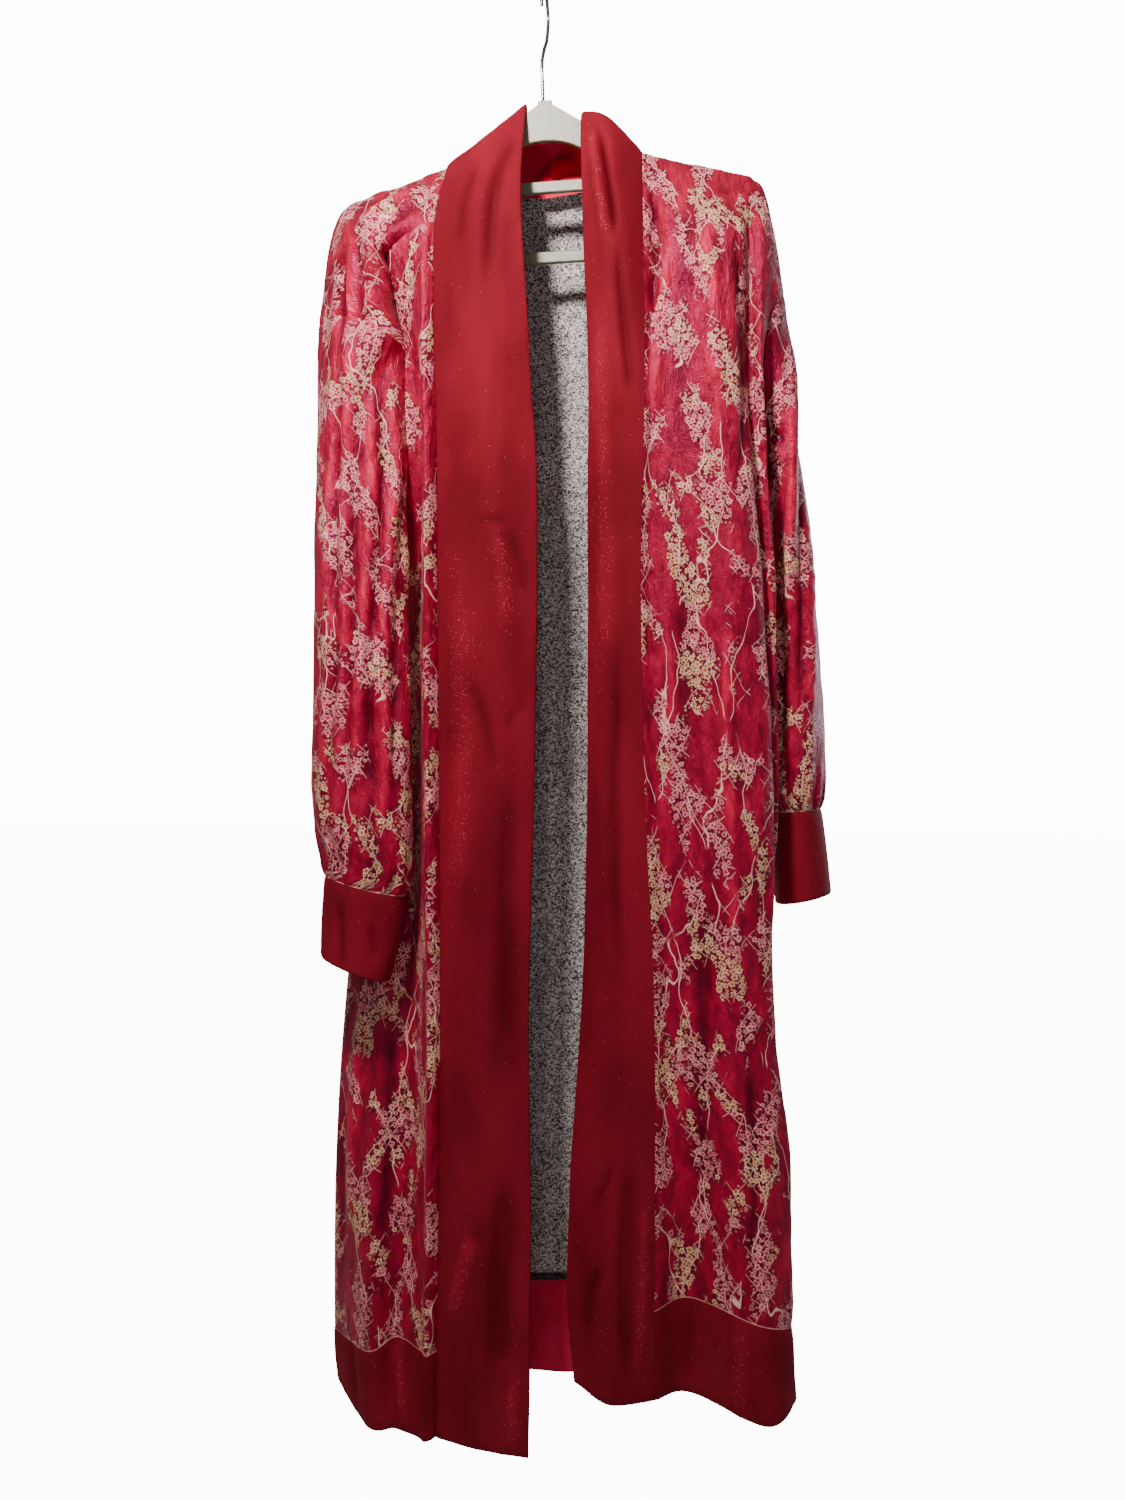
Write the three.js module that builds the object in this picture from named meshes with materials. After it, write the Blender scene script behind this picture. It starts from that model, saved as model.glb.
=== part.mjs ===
// Open-front velvet kimono robe on a clothes hanger, in millimetres, +Z up.
// The origin is the inner top of the hanger's hook, where a rail carries it.
// +X runs along the hanger and the robe's open front faces -Y.
import * as THREE from "three";

// Cloth
const PRINT_WALL = 1.8;
const DOUBLE_WALL = 3.0;
const SEAM_PULL = 0.27;
const RIDGE_HALF = 4;

// Hanger
const ARM_THICKNESS = 5;
const WIRE_DIAMETER = 3.6;
const HOOK_RADIUS = 19;
const HOOK_SIDES = 10;
const HOOK_STEPS = 44;
const NECK_TOP = -109;
const NECK_HALF_WIDTH = 7;
const BAR_HEIGHT = 11;
const BAR_THICKNESS = 5;
const UPPER_BAR_Z = -194;
const UPPER_BAR_END = 98;
const LOWER_BAR_Z = -263;
const POST_INNER = 184;
const POST_OUTER = 196;
const ARM_TIP_UNDER = -216;
const JOINT_GAP = 0.3;

// Cells across and down the lofted cloth
const BAND_CELLS = [2, 2];
const LEFT_CELLS = [1, 2, 2, 1, 2];
const RIGHT_CELLS = [1, 2, 2, 1, 2, 3];
const NECK_ROWS = [2, 2, 2];
const LEFT_SHOULDER_ROWS = [1, 3];
const LEFT_SEAM_ROWS = [2, 1];
const LEFT_ARMHOLE_ROWS = [2, 2];
const RIGHT_ARMHOLE_ROWS = [1, 1, 1, 2, 2, 1, 1];
const SKIRT_ROWS = [2, 2, 2, 2, 2];
const HEM_ROWS = [1];

// Top edge of a hanger arm, from the neck to the tip
const ARM_TOP = [
  { out: 7, z: -113 },
  { out: 25, z: -124.5 },
  { out: 60, z: -148 },
  { out: 97, z: -172.5 },
  { out: 127, z: -181 },
  { out: 163, z: -191 },
  { out: 190, z: -200 },
  { out: 200, z: -208 },
  { out: 204, z: -213 },
];

// Shoulder line of the cloth from the neck, over the arm, to the dropped sleeve seam
const SHOULDER = [
  { out: 97, z: -170.5 },
  { out: 127, z: -179.5 },
  { out: 163, z: -189.5 },
  { out: 190, z: -198 },
  { out: 205, z: -206 },
  { out: 215, z: -226 },
  { out: 222, z: -264 },
  { out: 229, z: -318 },
];

// Neck band from the centre back to the left shoulder, each line as x, y, z
const NECK_LEFT = [
  { free: [0, 30, -128], mid: [0, 37, -160], seam: [0, 27, -191] },
  { free: [-14, 30, -132], mid: [-32, 38, -160], seam: [-40, 25, -188] },
  { free: [-22, 16, -124], mid: [-56, 23, -152], seam: [-76, 15, -178] },
  { free: [-18, 4, -117.3], mid: [-60, 4, -145.8], seam: [-97, 4, -170.5] },
  { free: [-18, -4, -117.6], mid: [-60, -4, -145.8], seam: [-97.5, -4, -170.5] },
];

// Left front: band edge, band middle, band seam, then the panel's folds out to its side
const LEFT_FRONT = [
  {
    free: [-17, -38, -205], mid: [-60, -48, -222], seam: [-102, -34, -236],
    lip: [-112, -38, -239], tuck: [-124, -38, -245], behind: [-133, -37, -250],
    face: [-141, -36, -256], side: [-149, -35, -265],
  },
  {
    free: [-11, -54, -290], mid: [-57, -62, -296], seam: [-100, -48, -302],
    lip: [-109, -53, -303], tuck: [-117, -46, -304], behind: [-124, -37, -305],
    face: [-132, -31, -307], side: [-142, -27, -309],
  },
  {
    free: [-6, -60, -350], mid: [-53, -68, -352], seam: [-98, -55, -354],
    lip: [-107, -61, -354], tuck: [-114, -47, -354], behind: [-120, -33, -354],
    face: [-127, -27, -353], side: [-135, -24, -352],
  },
  {
    free: [-2, -65, -415], mid: [-49, -73, -416], seam: [-95, -60, -417],
    lip: [-105, -67, -417], tuck: [-110, -48, -417], behind: [-113, -27, -416],
    face: [-122, -21, -415], side: [-134, -25, -414],
  },
  {
    free: [3, -69, -480], mid: [-45, -76, -480], seam: [-93, -62, -480],
    lip: [-103, -70, -480], tuck: [-109, -48, -480], behind: [-113, -25, -480],
    face: [-122, -18, -480], side: [-134, -21, -480],
  },
  {
    free: [4, -70, -600], mid: [-44, -77, -600], seam: [-92, -64, -600],
    lip: [-102, -72, -600], tuck: [-111, -46, -600], behind: [-115, -17, -600],
    face: [-132, -2, -600], side: [-152, 7, -600],
  },
  {
    free: [1, -70, -790], mid: [-45, -77, -790], seam: [-90, -65, -790],
    lip: [-100, -73, -790], tuck: [-109, -50, -790], behind: [-122, -20, -790],
    face: [-150, -8, -790], side: [-182, 8, -790],
  },
  {
    free: [-4, -70, -985], mid: [-47, -76, -985], seam: [-89, -65, -985],
    lip: [-98, -72, -985], tuck: [-106, -56, -985], behind: [-126, -32, -985],
    face: [-160, -28, -985], side: [-200, -6, -985],
  },
  {
    free: [-2, -71, -1150], mid: [-47, -75, -1150], seam: [-91, -61, -1150],
    lip: [-100, -68, -1150], tuck: [-108, -54, -1150], behind: [-130, -38, -1150],
    face: [-162, -48, -1150], side: [-208, -14, -1150],
  },
  {
    free: [-2, -75, -1307], mid: [-49, -72, -1310], seam: [-95, -54, -1313],
    lip: [-104, -61, -1315], tuck: [-113, -52, -1314], behind: [-140, -36, -1312],
    face: [-164, -48, -1322], side: [-215, 2, -1328],
  },
  {
    free: [-3, -78, -1391], mid: [-51, -68, -1394], seam: [-97, -50, -1397],
    lip: [-106, -57, -1398], tuck: [-115, -50, -1398], behind: [-140, -40, -1398],
    face: [-166, -42, -1397], side: [-216, 14, -1384],
  },
];

// Neck band from the centre back to the right shoulder
const NECK_RIGHT = [
  { free: [0, 30, -128], mid: [0, 37, -160], seam: [0, 27, -191] },
  { free: [15, 30, -132], mid: [32, 38, -158], seam: [40, 25, -187] },
  { free: [28, 18, -130], mid: [54, 26, -149], seam: [73, 18, -177] },
];

// Right front: band, then the panel's folds; its first four rows wrap over the arm
const RIGHT_FRONT = [
  { free: [33, 11, -127], mid: [60, 13, -137], seam: [91, 9, -176] },
  { free: [37, 4, -126.5], mid: [61, 4, -132], seam: [95, 4, -169.2] },
  { free: [38, -4, -126.5], mid: [61, -4, -132], seam: [95.5, -4, -169.2] },
  { free: [37, -16, -148], mid: [64, -22, -155], seam: [96, -14, -186] },
  {
    free: [43, -40, -272], mid: [75, -54, -272], seam: [99, -43, -272],
    inner: [112, -38, -272], ridge: [160, -52, -272], edge: [188, -46, -272],
    tuck: [196, -33, -272], pleat: [210, -36, -280], side: [222, -26, -330],
  },
  {
    free: [47, -39, -360], mid: [76, -54, -360], seam: [101, -52, -360],
    inner: [113, -46, -360], ridge: [168, -57, -360], edge: [190, -49, -360],
    tuck: [196, -34, -360], pleat: [208, -39, -360], side: [211, -21, -362],
  },
  {
    free: [48, -38, -420], mid: [76, -55, -420], seam: [101, -56, -420],
    inner: [114, -50, -420], ridge: [172, -58, -420], edge: [192, -50, -420],
    tuck: [197, -34, -420], pleat: [209, -39, -420], side: [197, -9, -418],
  },
  {
    free: [47, -38, -480], mid: [76, -56, -480], seam: [100, -58, -480],
    inner: [114, -52, -480], ridge: [176, -60, -480], edge: [197, -51, -480],
    tuck: [199, -35, -480], pleat: [212, -39, -480], side: [184, 5, -480],
  },
  {
    free: [47, -37, -600], mid: [76, -56, -600], seam: [98, -60, -600],
    inner: [114, -54, -600], ridge: [182, -62, -600], edge: [207, -52, -600],
    tuck: [204, -37, -600], pleat: [219, -38, -600], side: [188, 0, -600],
  },
  {
    free: [46, -36, -790], mid: [76, -56, -790], seam: [102, -61, -790],
    inner: [120, -54, -790], ridge: [184, -62, -790], edge: [217, -52, -790],
    tuck: [209, -38, -790], pleat: [222, -38, -790], side: [194, -4, -790],
  },
  {
    free: [42, -36, -965], mid: [78, -56, -965], seam: [110, -61, -965],
    inner: [130, -52, -965], ridge: [186, -61, -965], edge: [217, -48, -965],
    tuck: [210, -35, -965], pleat: [212, -26, -965], side: [198, -2, -965],
  },
  {
    free: [31, -36, -1125], mid: [74, -56, -1125], seam: [111, -60, -1125],
    inner: [136, -45, -1125], ridge: [194, -63, -1125], edge: [231, -47, -1125],
    tuck: [227, -31, -1125], pleat: [225, -18, -1125], side: [214, 0, -1125],
  },
  {
    free: [27, -38, -1262], mid: [70, -56, -1262], seam: [110, -54, -1262],
    inner: [142, -38, -1254], ridge: [204, -66, -1262], edge: [233, -46, -1272],
    tuck: [231, -29, -1272], pleat: [229, -15, -1272], side: [220, 2, -1270],
  },
  {
    free: [34, -38, -1340], mid: [68, -55, -1350], seam: [109, -50, -1346],
    inner: [142, -32, -1345], ridge: [211, -69, -1350], edge: [237, -42, -1343],
    tuck: [235, -27, -1343], pleat: [232, -13, -1342], side: [223, 3, -1341],
  },
];

// Outer edges of the armholes
const FLAP_ARMHOLE = [
  [-135, -24, -352],
  [-146, -45, -345],
  [-170, -46, -331],
  [-200, -28, -319],
  [-229, -4, -318],
];
const BACK_ARMHOLE_LEFT = [
  [-229, 4, -318],
  [-222, 22, -322],
  [-200, 34, -352],
  [-172, 26, -420],
  [-150, 4, -464],
  [-134, -21, -480],
];
const BACK_ARMHOLE_RIGHT = [
  [229, 9, -318],
  [227, 24, -325],
  [219, 34, -360],
  [203, 28, -430],
  [184, 5, -480],
];
const BACK_YOKE_STEPS = [0, 0.03, 0.13, 0.34, 0.6, 0.8, 1];
const BACK_BEHIND_ARM = 9;
const BACK_BEHIND_WITHIN = 3;
const BACK_SEAM_LIFT = 28;
const BACK_Y = 19;
const BACK_TURN = 0.045;
const BACK_FOLD_DEPTH = 5;
const BACK_FOLDS = 3;

// Sleeves: an oval for each height, its middle, half width, half depth, side tilt and turn
const LEFT_SLEEVE = [
  { z: -470, x: -176, y: -28, wide: 45, deep: 27, tilt: 0, turn: 0 },
  { z: -520, x: -175.5, y: -38, wide: 44.5, deep: 27, tilt: 0, turn: 0 },
  { z: -600, x: -172, y: -46, wide: 45, deep: 28, tilt: 0, turn: 0 },
  { z: -680, x: -168, y: -56, wide: 46, deep: 28, tilt: 0, turn: 0 },
  { z: -775, x: -166.5, y: -61, wide: 47.5, deep: 29, tilt: 0.02, turn: 0 },
  { z: -825, x: -163.5, y: -62, wide: 46.5, deep: 30, tilt: 0.07, turn: 0 },
  { z: -850, x: -160.5, y: -61, wide: 44, deep: 28, tilt: 0.14, turn: 0 },
  { z: -873, x: -162.5, y: -61, wide: 38, deep: 25, tilt: 0.25, turn: 0 },
];
const RIGHT_SLEEVE = [
  { z: -450, x: 224, y: 15, wide: 18, deep: 40, tilt: 0, turn: 0.26 },
  { z: -510, x: 227.5, y: 19, wide: 21, deep: 44, tilt: 0, turn: 0.26 },
  { z: -570, x: 231, y: 21, wide: 23, deep: 44, tilt: 0, turn: 0.26 },
  { z: -650, x: 235.5, y: 21, wide: 26, deep: 43, tilt: 0, turn: 0.21 },
  { z: -730, x: 239.5, y: 20, wide: 28, deep: 42, tilt: 0, turn: 0.17 },
  { z: -772, x: 239.5, y: 18, wide: 29, deep: 41, tilt: 0, turn: 0.14 },
  { z: -792, x: 240, y: 17, wide: 27, deep: 38, tilt: -0.04, turn: 0.1 },
  { z: -803, x: 241, y: 16, wide: 24, deep: 34, tilt: -0.08, turn: 0.08 },
];
const LEFT_CUFF = [
  { z: -873, x: -162.5, y: -61, wide: 38, deep: 25, tilt: 0.25, turn: 0 },
  { z: -915, x: -166.5, y: -62, wide: 36.5, deep: 25, tilt: 0.24, turn: 0 },
  { z: -950, x: -171, y: -64, wide: 31.5, deep: 26, tilt: 0.38, turn: 0 },
];
const RIGHT_CUFF = [
  { z: -803, x: 241, y: 16, wide: 24, deep: 34, tilt: -0.08, turn: 0.08 },
  { z: -846, x: 245, y: 15, wide: 25, deep: 34, tilt: -0.14, turn: 0.04 },
  { z: -887, x: 249, y: 15, wide: 25, deep: 33, tilt: -0.22, turn: 0 },
];
const COLUMNS_PER_GATHER = 4;
const GATHER_DEPTH = 1.9;
const GATHER_HEIGHT = 55;

// Materials
function material(hex, roughness) {
  return new THREE.MeshStandardMaterial({ color: hex, roughness, metalness: 0 });
}
const PRINTED_VELVET = material(0x9c1438, 0.6);
const PLAIN_VELVET = material(0x84101e, 0.75);
const HANGER_PLASTIC = material(0xd9dccb, 0.4);
const HOOK_STEEL = new THREE.MeshStandardMaterial({ color: 0xa8a8a6, roughness: 0.3, metalness: 1 });

// Points and curves
const V = (p) => new THREE.Vector3(p[0], p[1], p[2]);
const mix = (a, b, t) => a + (b - a) * t;

function alongCurve(points, t) {
  const last = points.length - 1;
  const clamped = Math.min(Math.max(t, 0), last);
  const i = Math.min(Math.floor(clamped), last - 1);
  const f = clamped - i;
  const a = points[i];
  const b = points[i + 1];
  const before = i > 0 ? points[i - 1] : a.clone().multiplyScalar(2).sub(b);
  const after = i < last - 1 ? points[i + 2] : b.clone().multiplyScalar(2).sub(a);
  const slopeA = b.clone().sub(before).multiplyScalar(0.5);
  const slopeB = after.clone().sub(a).multiplyScalar(0.5);
  const f2 = f * f;
  const f3 = f2 * f;
  return a.clone().multiplyScalar(2 * f3 - 3 * f2 + 1)
    .addScaledVector(slopeA, f3 - 2 * f2 + f)
    .addScaledVector(b, 3 * f2 - 2 * f3)
    .addScaledVector(slopeB, f3 - f2);
}

// Spreads count points evenly by length over a curve through the given points
function evenly(points, cells) {
  const fine = [];
  const steps = 16 * (points.length - 1);
  for (let i = 0; i <= steps; i += 1) {
    fine.push(alongCurve(points, (i * (points.length - 1)) / steps));
  }
  const lengths = [0];
  for (let i = 1; i < fine.length; i += 1) {
    lengths.push(lengths[i - 1] + fine[i].distanceTo(fine[i - 1]));
  }
  const result = [];
  let k = 0;
  for (let c = 0; c <= cells; c += 1) {
    const wanted = (lengths[steps] * c) / cells;
    while (k < steps - 1 && lengths[k + 1] < wanted) {
      k += 1;
    }
    const span = lengths[k + 1] - lengths[k];
    const f = span > 0 ? (wanted - lengths[k]) / span : 0;
    result.push(fine[k].clone().lerp(fine[k + 1], Math.min(f, 1)));
  }
  result[0].copy(points[0]);
  result[cells].copy(points[points.length - 1]);
  return result;
}

// Places in a list of spans, with the given number of cells in each
function stops(cells) {
  const result = [0];
  cells.forEach((count, span) => {
    for (let i = 1; i <= count; i += 1) {
      result.push(span + i / count);
    }
  });
  return result;
}

// A grid of points: one curve down each named line, then one curve across each row
function loft(rows, lines, rowStops, columnStops) {
  const down = lines.map((line) => rows.map((row) => V(row[line])));
  return rowStops.map((r) => {
    const across = down.map((points) => alongCurve(points, r));
    return columnStops.map((c) => alongCurve(across, c));
  });
}

// Shoulder line out along one arm, at one edge of the flat strip that rests on it
function shoulderPoints(sign, y) {
  return SHOULDER.map((p) => new THREE.Vector3(sign * p.out, y, p.z));
}

// A surface filled in between four edges that share their corners
function patch(top, bottom, left, right, steps) {
  const columns = top.length - 1;
  return steps.map((t, j) => top.map((_, i) => {
    const f = i / columns;
    const upDown = top[i].clone().lerp(bottom[i], t);
    const sides = left[j].clone().lerp(right[j], f);
    const cornersTop = top[0].clone().lerp(top[columns], f);
    const cornersBottom = bottom[0].clone().lerp(bottom[columns], f);
    return upDown.add(sides).sub(cornersTop.lerp(cornersBottom, t));
  }));
}

// Points within a fiftieth of a millimetre count as one
const key = (p) => `${Math.round(p.x * 50)},${Math.round(p.y * 50)},${Math.round(p.z * 50)}`;

// Merges a piece's grids into one list of points and faces. Where one grid has twice the
// columns of the one above it, the faces between them take the extra point.
function meshOf(piece) {
  const points = [];
  const index = new Map();
  const faces = [];
  const at = (p) => {
    const k = key(p);
    if (!index.has(k)) {
      index.set(k, points.length);
      points.push(p.clone());
    }
    return index.get(k);
  };
  const strip = (above, below) => {
    const across = above.length;
    const last = piece.closed ? across : across - 1;
    const ratio = below.length === 2 * across ? 2 : 1;
    for (let i = 0; i < last; i += 1) {
      const n = (i + 1) % across;
      const face = [at(above[n]), at(below[(ratio * (i + 1)) % below.length])];
      if (ratio === 2) {
        face.push(at(below[2 * i + 1]));
      }
      face.push(at(below[ratio * i]), at(above[i]));
      faces.push(face);
    }
  };
  piece.grids.forEach((grid, g) => {
    if (piece.closed && g > 0) {
      strip(lastOf(piece.grids[g - 1]), grid[0]);
    }
    for (let j = 0; j + 1 < grid.length; j += 1) {
      strip(grid[j], grid[j + 1]);
    }
  });
  return { points, faces };
}

function faceNormal(points, face) {
  const corners = face.map((i) => points[i]);
  const [a, b, c] = corners;
  return c.clone().sub(a).cross(corners[corners.length - 1].clone().sub(b));
}

function orient(piece, shape) {
  let outward = 0;
  shape.faces.forEach((face) => {
    const middle = new THREE.Vector3();
    face.forEach((i) => middle.addScaledVector(shape.points[i], 1 / face.length));
    const away = middle.sub(piece.centre(middle.z));
    outward += faceNormal(shape.points, face).dot(away);
  });
  if (outward < 0) {
    shape.faces.forEach((face) => face.reverse());
  }
}

// Normals shared by every piece that meets at a point, so walls end face to face
function sharedNormals(shapes) {
  const normals = new Map();
  shapes.forEach((shape) => {
    shape.faces.forEach((face) => {
      const normal = faceNormal(shape.points, face).normalize();
      face.forEach((i) => {
        const k = key(shape.points[i]);
        normals.set(k, (normals.get(k) ?? new THREE.Vector3()).add(normal));
      });
    });
  });
  normals.forEach((normal) => normal.normalize());
  return normals;
}

// Cuts a four-sided face on its shorter diagonal, and a five-sided one at its middle point
function splitFace(face, points) {
  const [a, b, c, d, e] = face;
  if (face.length === 5) {
    return [[a, b, c], [a, c, e], [c, d, e]];
  }
  const short = points[a].distanceTo(points[c]) <= points[b].distanceTo(points[d]);
  return short ? [[a, b, c], [a, c, d]] : [[a, b, d], [b, c, d]];
}

// Gives a surface its wall and closes it round its edges, cutting each closing face on the
// same diagonal as the piece on the other side of the seam
function thicken(shape, normals, wall) {
  const inward = shape.points.map(() => []);
  const edges = new Map();
  shape.faces.forEach((face) => {
    face.forEach((a, n) => {
      const b = face[(n + 1) % face.length];
      const back = `${b}_${a}`;
      if (edges.has(back)) {
        edges.delete(back);
      } else {
        edges.set(`${a}_${b}`, { a, b, normal: faceNormal(shape.points, face).normalize() });
      }
    });
  });
  edges.forEach(({ a, b, normal }) => {
    const along = shape.points[b].clone().sub(shape.points[a]).normalize();
    const into = normal.clone().cross(along).normalize();
    inward[a].push(into);
    inward[b].push(into);
  });
  const outer = [];
  const inner = [];
  shape.points.forEach((p, i) => {
    const place = p.clone();
    if (inward[i].length >= 2) {
      const [one, two] = inward[i];
      const sum = one.clone().add(two);
      place.addScaledVector(sum, SEAM_PULL / Math.max(1 + one.dot(two), 0.35));
    }
    const normal = normals.get(key(p));
    outer.push(place.clone().addScaledVector(normal, wall / 2));
    inner.push(place.clone().addScaledVector(normal, -wall / 2));
  });
  const count = outer.length;
  const triangles = [];
  shape.faces.forEach((face) => {
    splitFace(face, outer).forEach(([p, q, r]) => {
      triangles.push(p, q, r);
      triangles.push(p + count, r + count, q + count);
    });
  });
  edges.forEach(({ a, b }) => {
    if (key(shape.points[a]) < key(shape.points[b])) {
      triangles.push(a, a + count, b, b, a + count, b + count);
    } else {
      triangles.push(a, a + count, b + count, a, b + count, b);
    }
  });
  const positions = [];
  outer.concat(inner).forEach((p) => positions.push(p.x, p.y, p.z));
  const geometry = new THREE.BufferGeometry();
  geometry.setAttribute("position", new THREE.Float32BufferAttribute(positions, 3));
  geometry.setIndex(triangles);
  geometry.computeVertexNormals();
  return geometry;
}

// Left front and its band, which runs on over the shoulder to the centre back
const BAND = ["free", "mid", "seam"];
const LEFT_LINES = ["seam", "lip", "tuck", "behind", "face", "side"];
const RIGHT_LINES = ["seam", "inner", "ridge", "edge", "tuck", "pleat", "side"];
const sum = (list) => list.reduce((total, value) => total + value, 0);
const lastOf = (list) => list[list.length - 1];
const column = (grid, i) => grid.map((row) => row[i]);

const leftRows = LEFT_SEAM_ROWS.concat(LEFT_ARMHOLE_ROWS, SKIRT_ROWS, HEM_ROWS);
const leftNeckCells = sum(NECK_ROWS) + sum(LEFT_SHOULDER_ROWS);
const bandLeft = loft(
  NECK_LEFT.concat(LEFT_FRONT),
  BAND,
  stops(NECK_ROWS.concat(LEFT_SHOULDER_ROWS, leftRows)),
  stops(BAND_CELLS),
);
const frontLeft = loft(LEFT_FRONT, LEFT_LINES, stops(leftRows), stops(LEFT_CELLS));
frontLeft.forEach((row, j) => row[0].copy(lastOf(bandLeft[leftNeckCells + j])));

// Right front: its top rows lie along the shoulder line, behind, on and before the arm
const SHOULDER_SPREAD = [0, 0.6, 2.2, 3, 3.7, 4.9, 7];
const OVER_ARM = [
  { y: 9, drop: 8 },
  { y: RIDGE_HALF, drop: 0 },
  { y: -RIDGE_HALF, drop: 0 },
  { y: -14, drop: 17 },
];
const rightFrontRows = RIGHT_FRONT.map((row, j) => {
  if (j >= OVER_ARM.length) {
    return row;
  }
  const placed = { ...row };
  RIGHT_LINES.slice(1).forEach((line, n) => {
    const p = alongCurve(shoulderPoints(1, OVER_ARM[j].y), SHOULDER_SPREAD[n + 1]);
    placed[line] = [p.x, p.y, line === "side" ? p.z : p.z - OVER_ARM[j].drop];
  });
  return placed;
});
const rightRows = RIGHT_ARMHOLE_ROWS.concat(SKIRT_ROWS, HEM_ROWS);
const rightNeckCells = sum(NECK_ROWS);
const bandRight = loft(
  NECK_RIGHT.concat(rightFrontRows),
  BAND,
  stops(NECK_ROWS.concat(rightRows)),
  stops(BAND_CELLS),
);
const frontRight = loft(rightFrontRows, RIGHT_LINES, stops(rightRows), stops(RIGHT_CELLS));
frontRight.forEach((row, j) => row[0].copy(lastOf(bandRight[rightNeckCells + j])));

// Back: shoulder line and neckline on top, armholes at the sides, then down to the hem
const seamCells = sum(LEFT_SEAM_ROWS);
const leftColumns = sum(LEFT_CELLS) + seamCells;
const shoulderLeft = evenly(shoulderPoints(-1, RIDGE_HALF), leftColumns);
const shoulderFore = evenly(shoulderPoints(-1, -RIDGE_HALF), leftColumns);
const necklineLeft = column(bandLeft, 4).slice(0, sum(NECK_ROWS) + 1);
const necklineRight = column(bandRight, 4).slice(0, rightNeckCells + 1);
shoulderLeft[0].copy(lastOf(necklineLeft));
const backTop = shoulderLeft.slice().reverse()
  .concat(necklineLeft.slice(0, -1).reverse())
  .concat(necklineRight.slice(1))
  .concat(frontRight[0].slice(1));

const leftUnderarm = seamCells + sum(LEFT_ARMHOLE_ROWS);
const rightUnderarm = sum(RIGHT_ARMHOLE_ROWS);
const skirtCells = sum(SKIRT_ROWS) + sum(HEM_ROWS);
function backRow(level) {
  const a = lastOf(frontLeft[leftUnderarm + level]);
  const b = lastOf(frontRight[rightUnderarm + level]);
  const columns = backTop.length - 1;
  const grown = level / skirtCells;
  return backTop.map((_, i) => {
    if (i === 0 || i === columns) {
      return i === 0 ? a.clone() : b.clone();
    }
    const f = i / columns;
    const p = a.clone().lerp(b, f);
    const middle = Math.sin(Math.PI * f);
    const waves = Math.sin(2 * Math.PI * BACK_FOLDS * f + 0.6) * middle;
    p.y = BACK_Y + BACK_FOLD_DEPTH * mix(0.3, 1, grown) * waves;
    p.y += (a.y - BACK_Y) * Math.exp(-f / BACK_TURN);
    p.y += (b.y - BACK_Y) * Math.exp((f - 1) / BACK_TURN);
    p.z += level === sum(SKIRT_ROWS) ? BACK_SEAM_LIFT * middle : 0;
    return p;
  });
}
const backCells = BACK_YOKE_STEPS.length - 1;
const armholeLeft = evenly(BACK_ARMHOLE_LEFT.map(V), backCells);
const armholeRight = evenly(BACK_ARMHOLE_RIGHT.map(V), backCells);
armholeLeft[0].copy(backTop[0]);
armholeRight[0].copy(lastOf(backTop));
const underarmRow = backRow(0);
const backYoke = BACK_YOKE_STEPS.map((t, j) => backTop.map((top, i) => {
  const f = i / (backTop.length - 1);
  const p = top.clone().lerp(underarmRow[i], t);
  const fallen = top.z - p.z;
  const inside = Math.min(1, 8 * f, 8 * (1 - f));
  p.y += BACK_BEHIND_ARM * (1 - Math.exp(-fallen / BACK_BEHIND_WITHIN)) * (1 - t) * inside;
  const leftChord = armholeLeft[0].clone().lerp(lastOf(armholeLeft), t);
  const rightChord = armholeRight[0].clone().lerp(lastOf(armholeRight), t);
  p.addScaledVector(armholeLeft[j].clone().sub(leftChord), (1 - f) ** 3);
  p.addScaledVector(armholeRight[j].clone().sub(rightChord), f ** 3);
  return p;
}));
const backSkirt = [];
for (let level = 0; level <= skirtCells; level += 1) {
  backSkirt.push(backRow(level));
}
backYoke[backCells] = backSkirt[0];

// The back's flap: it wraps over the left shoulder to a seam on the front
const flapBottom = frontLeft[0].concat(column(frontLeft, frontLeft[0].length - 1).slice(1, seamCells + 1));
const flapCells = LEFT_SHOULDER_ROWS[1];
const flapInner = column(bandLeft, 4).slice(leftNeckCells - flapCells, leftNeckCells + 1);
const flapOuter = evenly(FLAP_ARMHOLE.map(V).reverse(), flapCells);
shoulderFore[0].copy(flapInner[0]);
flapOuter[0].copy(lastOf(shoulderFore));
flapOuter[flapCells].copy(lastOf(flapBottom));
const flapSteps = flapOuter.map((_, j) => j / flapCells);
const flap = [shoulderLeft].concat(patch(shoulderFore, flapBottom, flapInner, flapOuter, flapSteps));

// Sleeves hang from their armholes as ovals that gather into the cuffs
function ovalAt(table, z) {
  let i = 0;
  while (i < table.length - 2 && z < table[i + 1].z) {
    i += 1;
  }
  const a = table[i];
  const b = table[i + 1];
  const t = Math.min(Math.max((z - a.z) / (b.z - a.z), 0), 1);
  const oval = {};
  Object.keys(a).forEach((name) => {
    oval[name] = mix(a[name], b[name], t);
  });
  return oval;
}
function ovalPoint(oval, z, angle, swell = 0) {
  const along = (oval.wide + swell) * Math.cos(angle);
  const across = (oval.deep + swell) * Math.sin(angle);
  const x = along * Math.cos(oval.turn) - across * Math.sin(oval.turn);
  const y = along * Math.sin(oval.turn) + across * Math.cos(oval.turn);
  return new THREE.Vector3(oval.x + x, oval.y + y, z - oval.tilt * x);
}
function halved(points) {
  const result = [];
  points.forEach((p, i) => {
    result.push(p.clone());
    result.push(p.clone().lerp(points[(i + 1) % points.length], 0.5));
  });
  return result;
}
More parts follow.
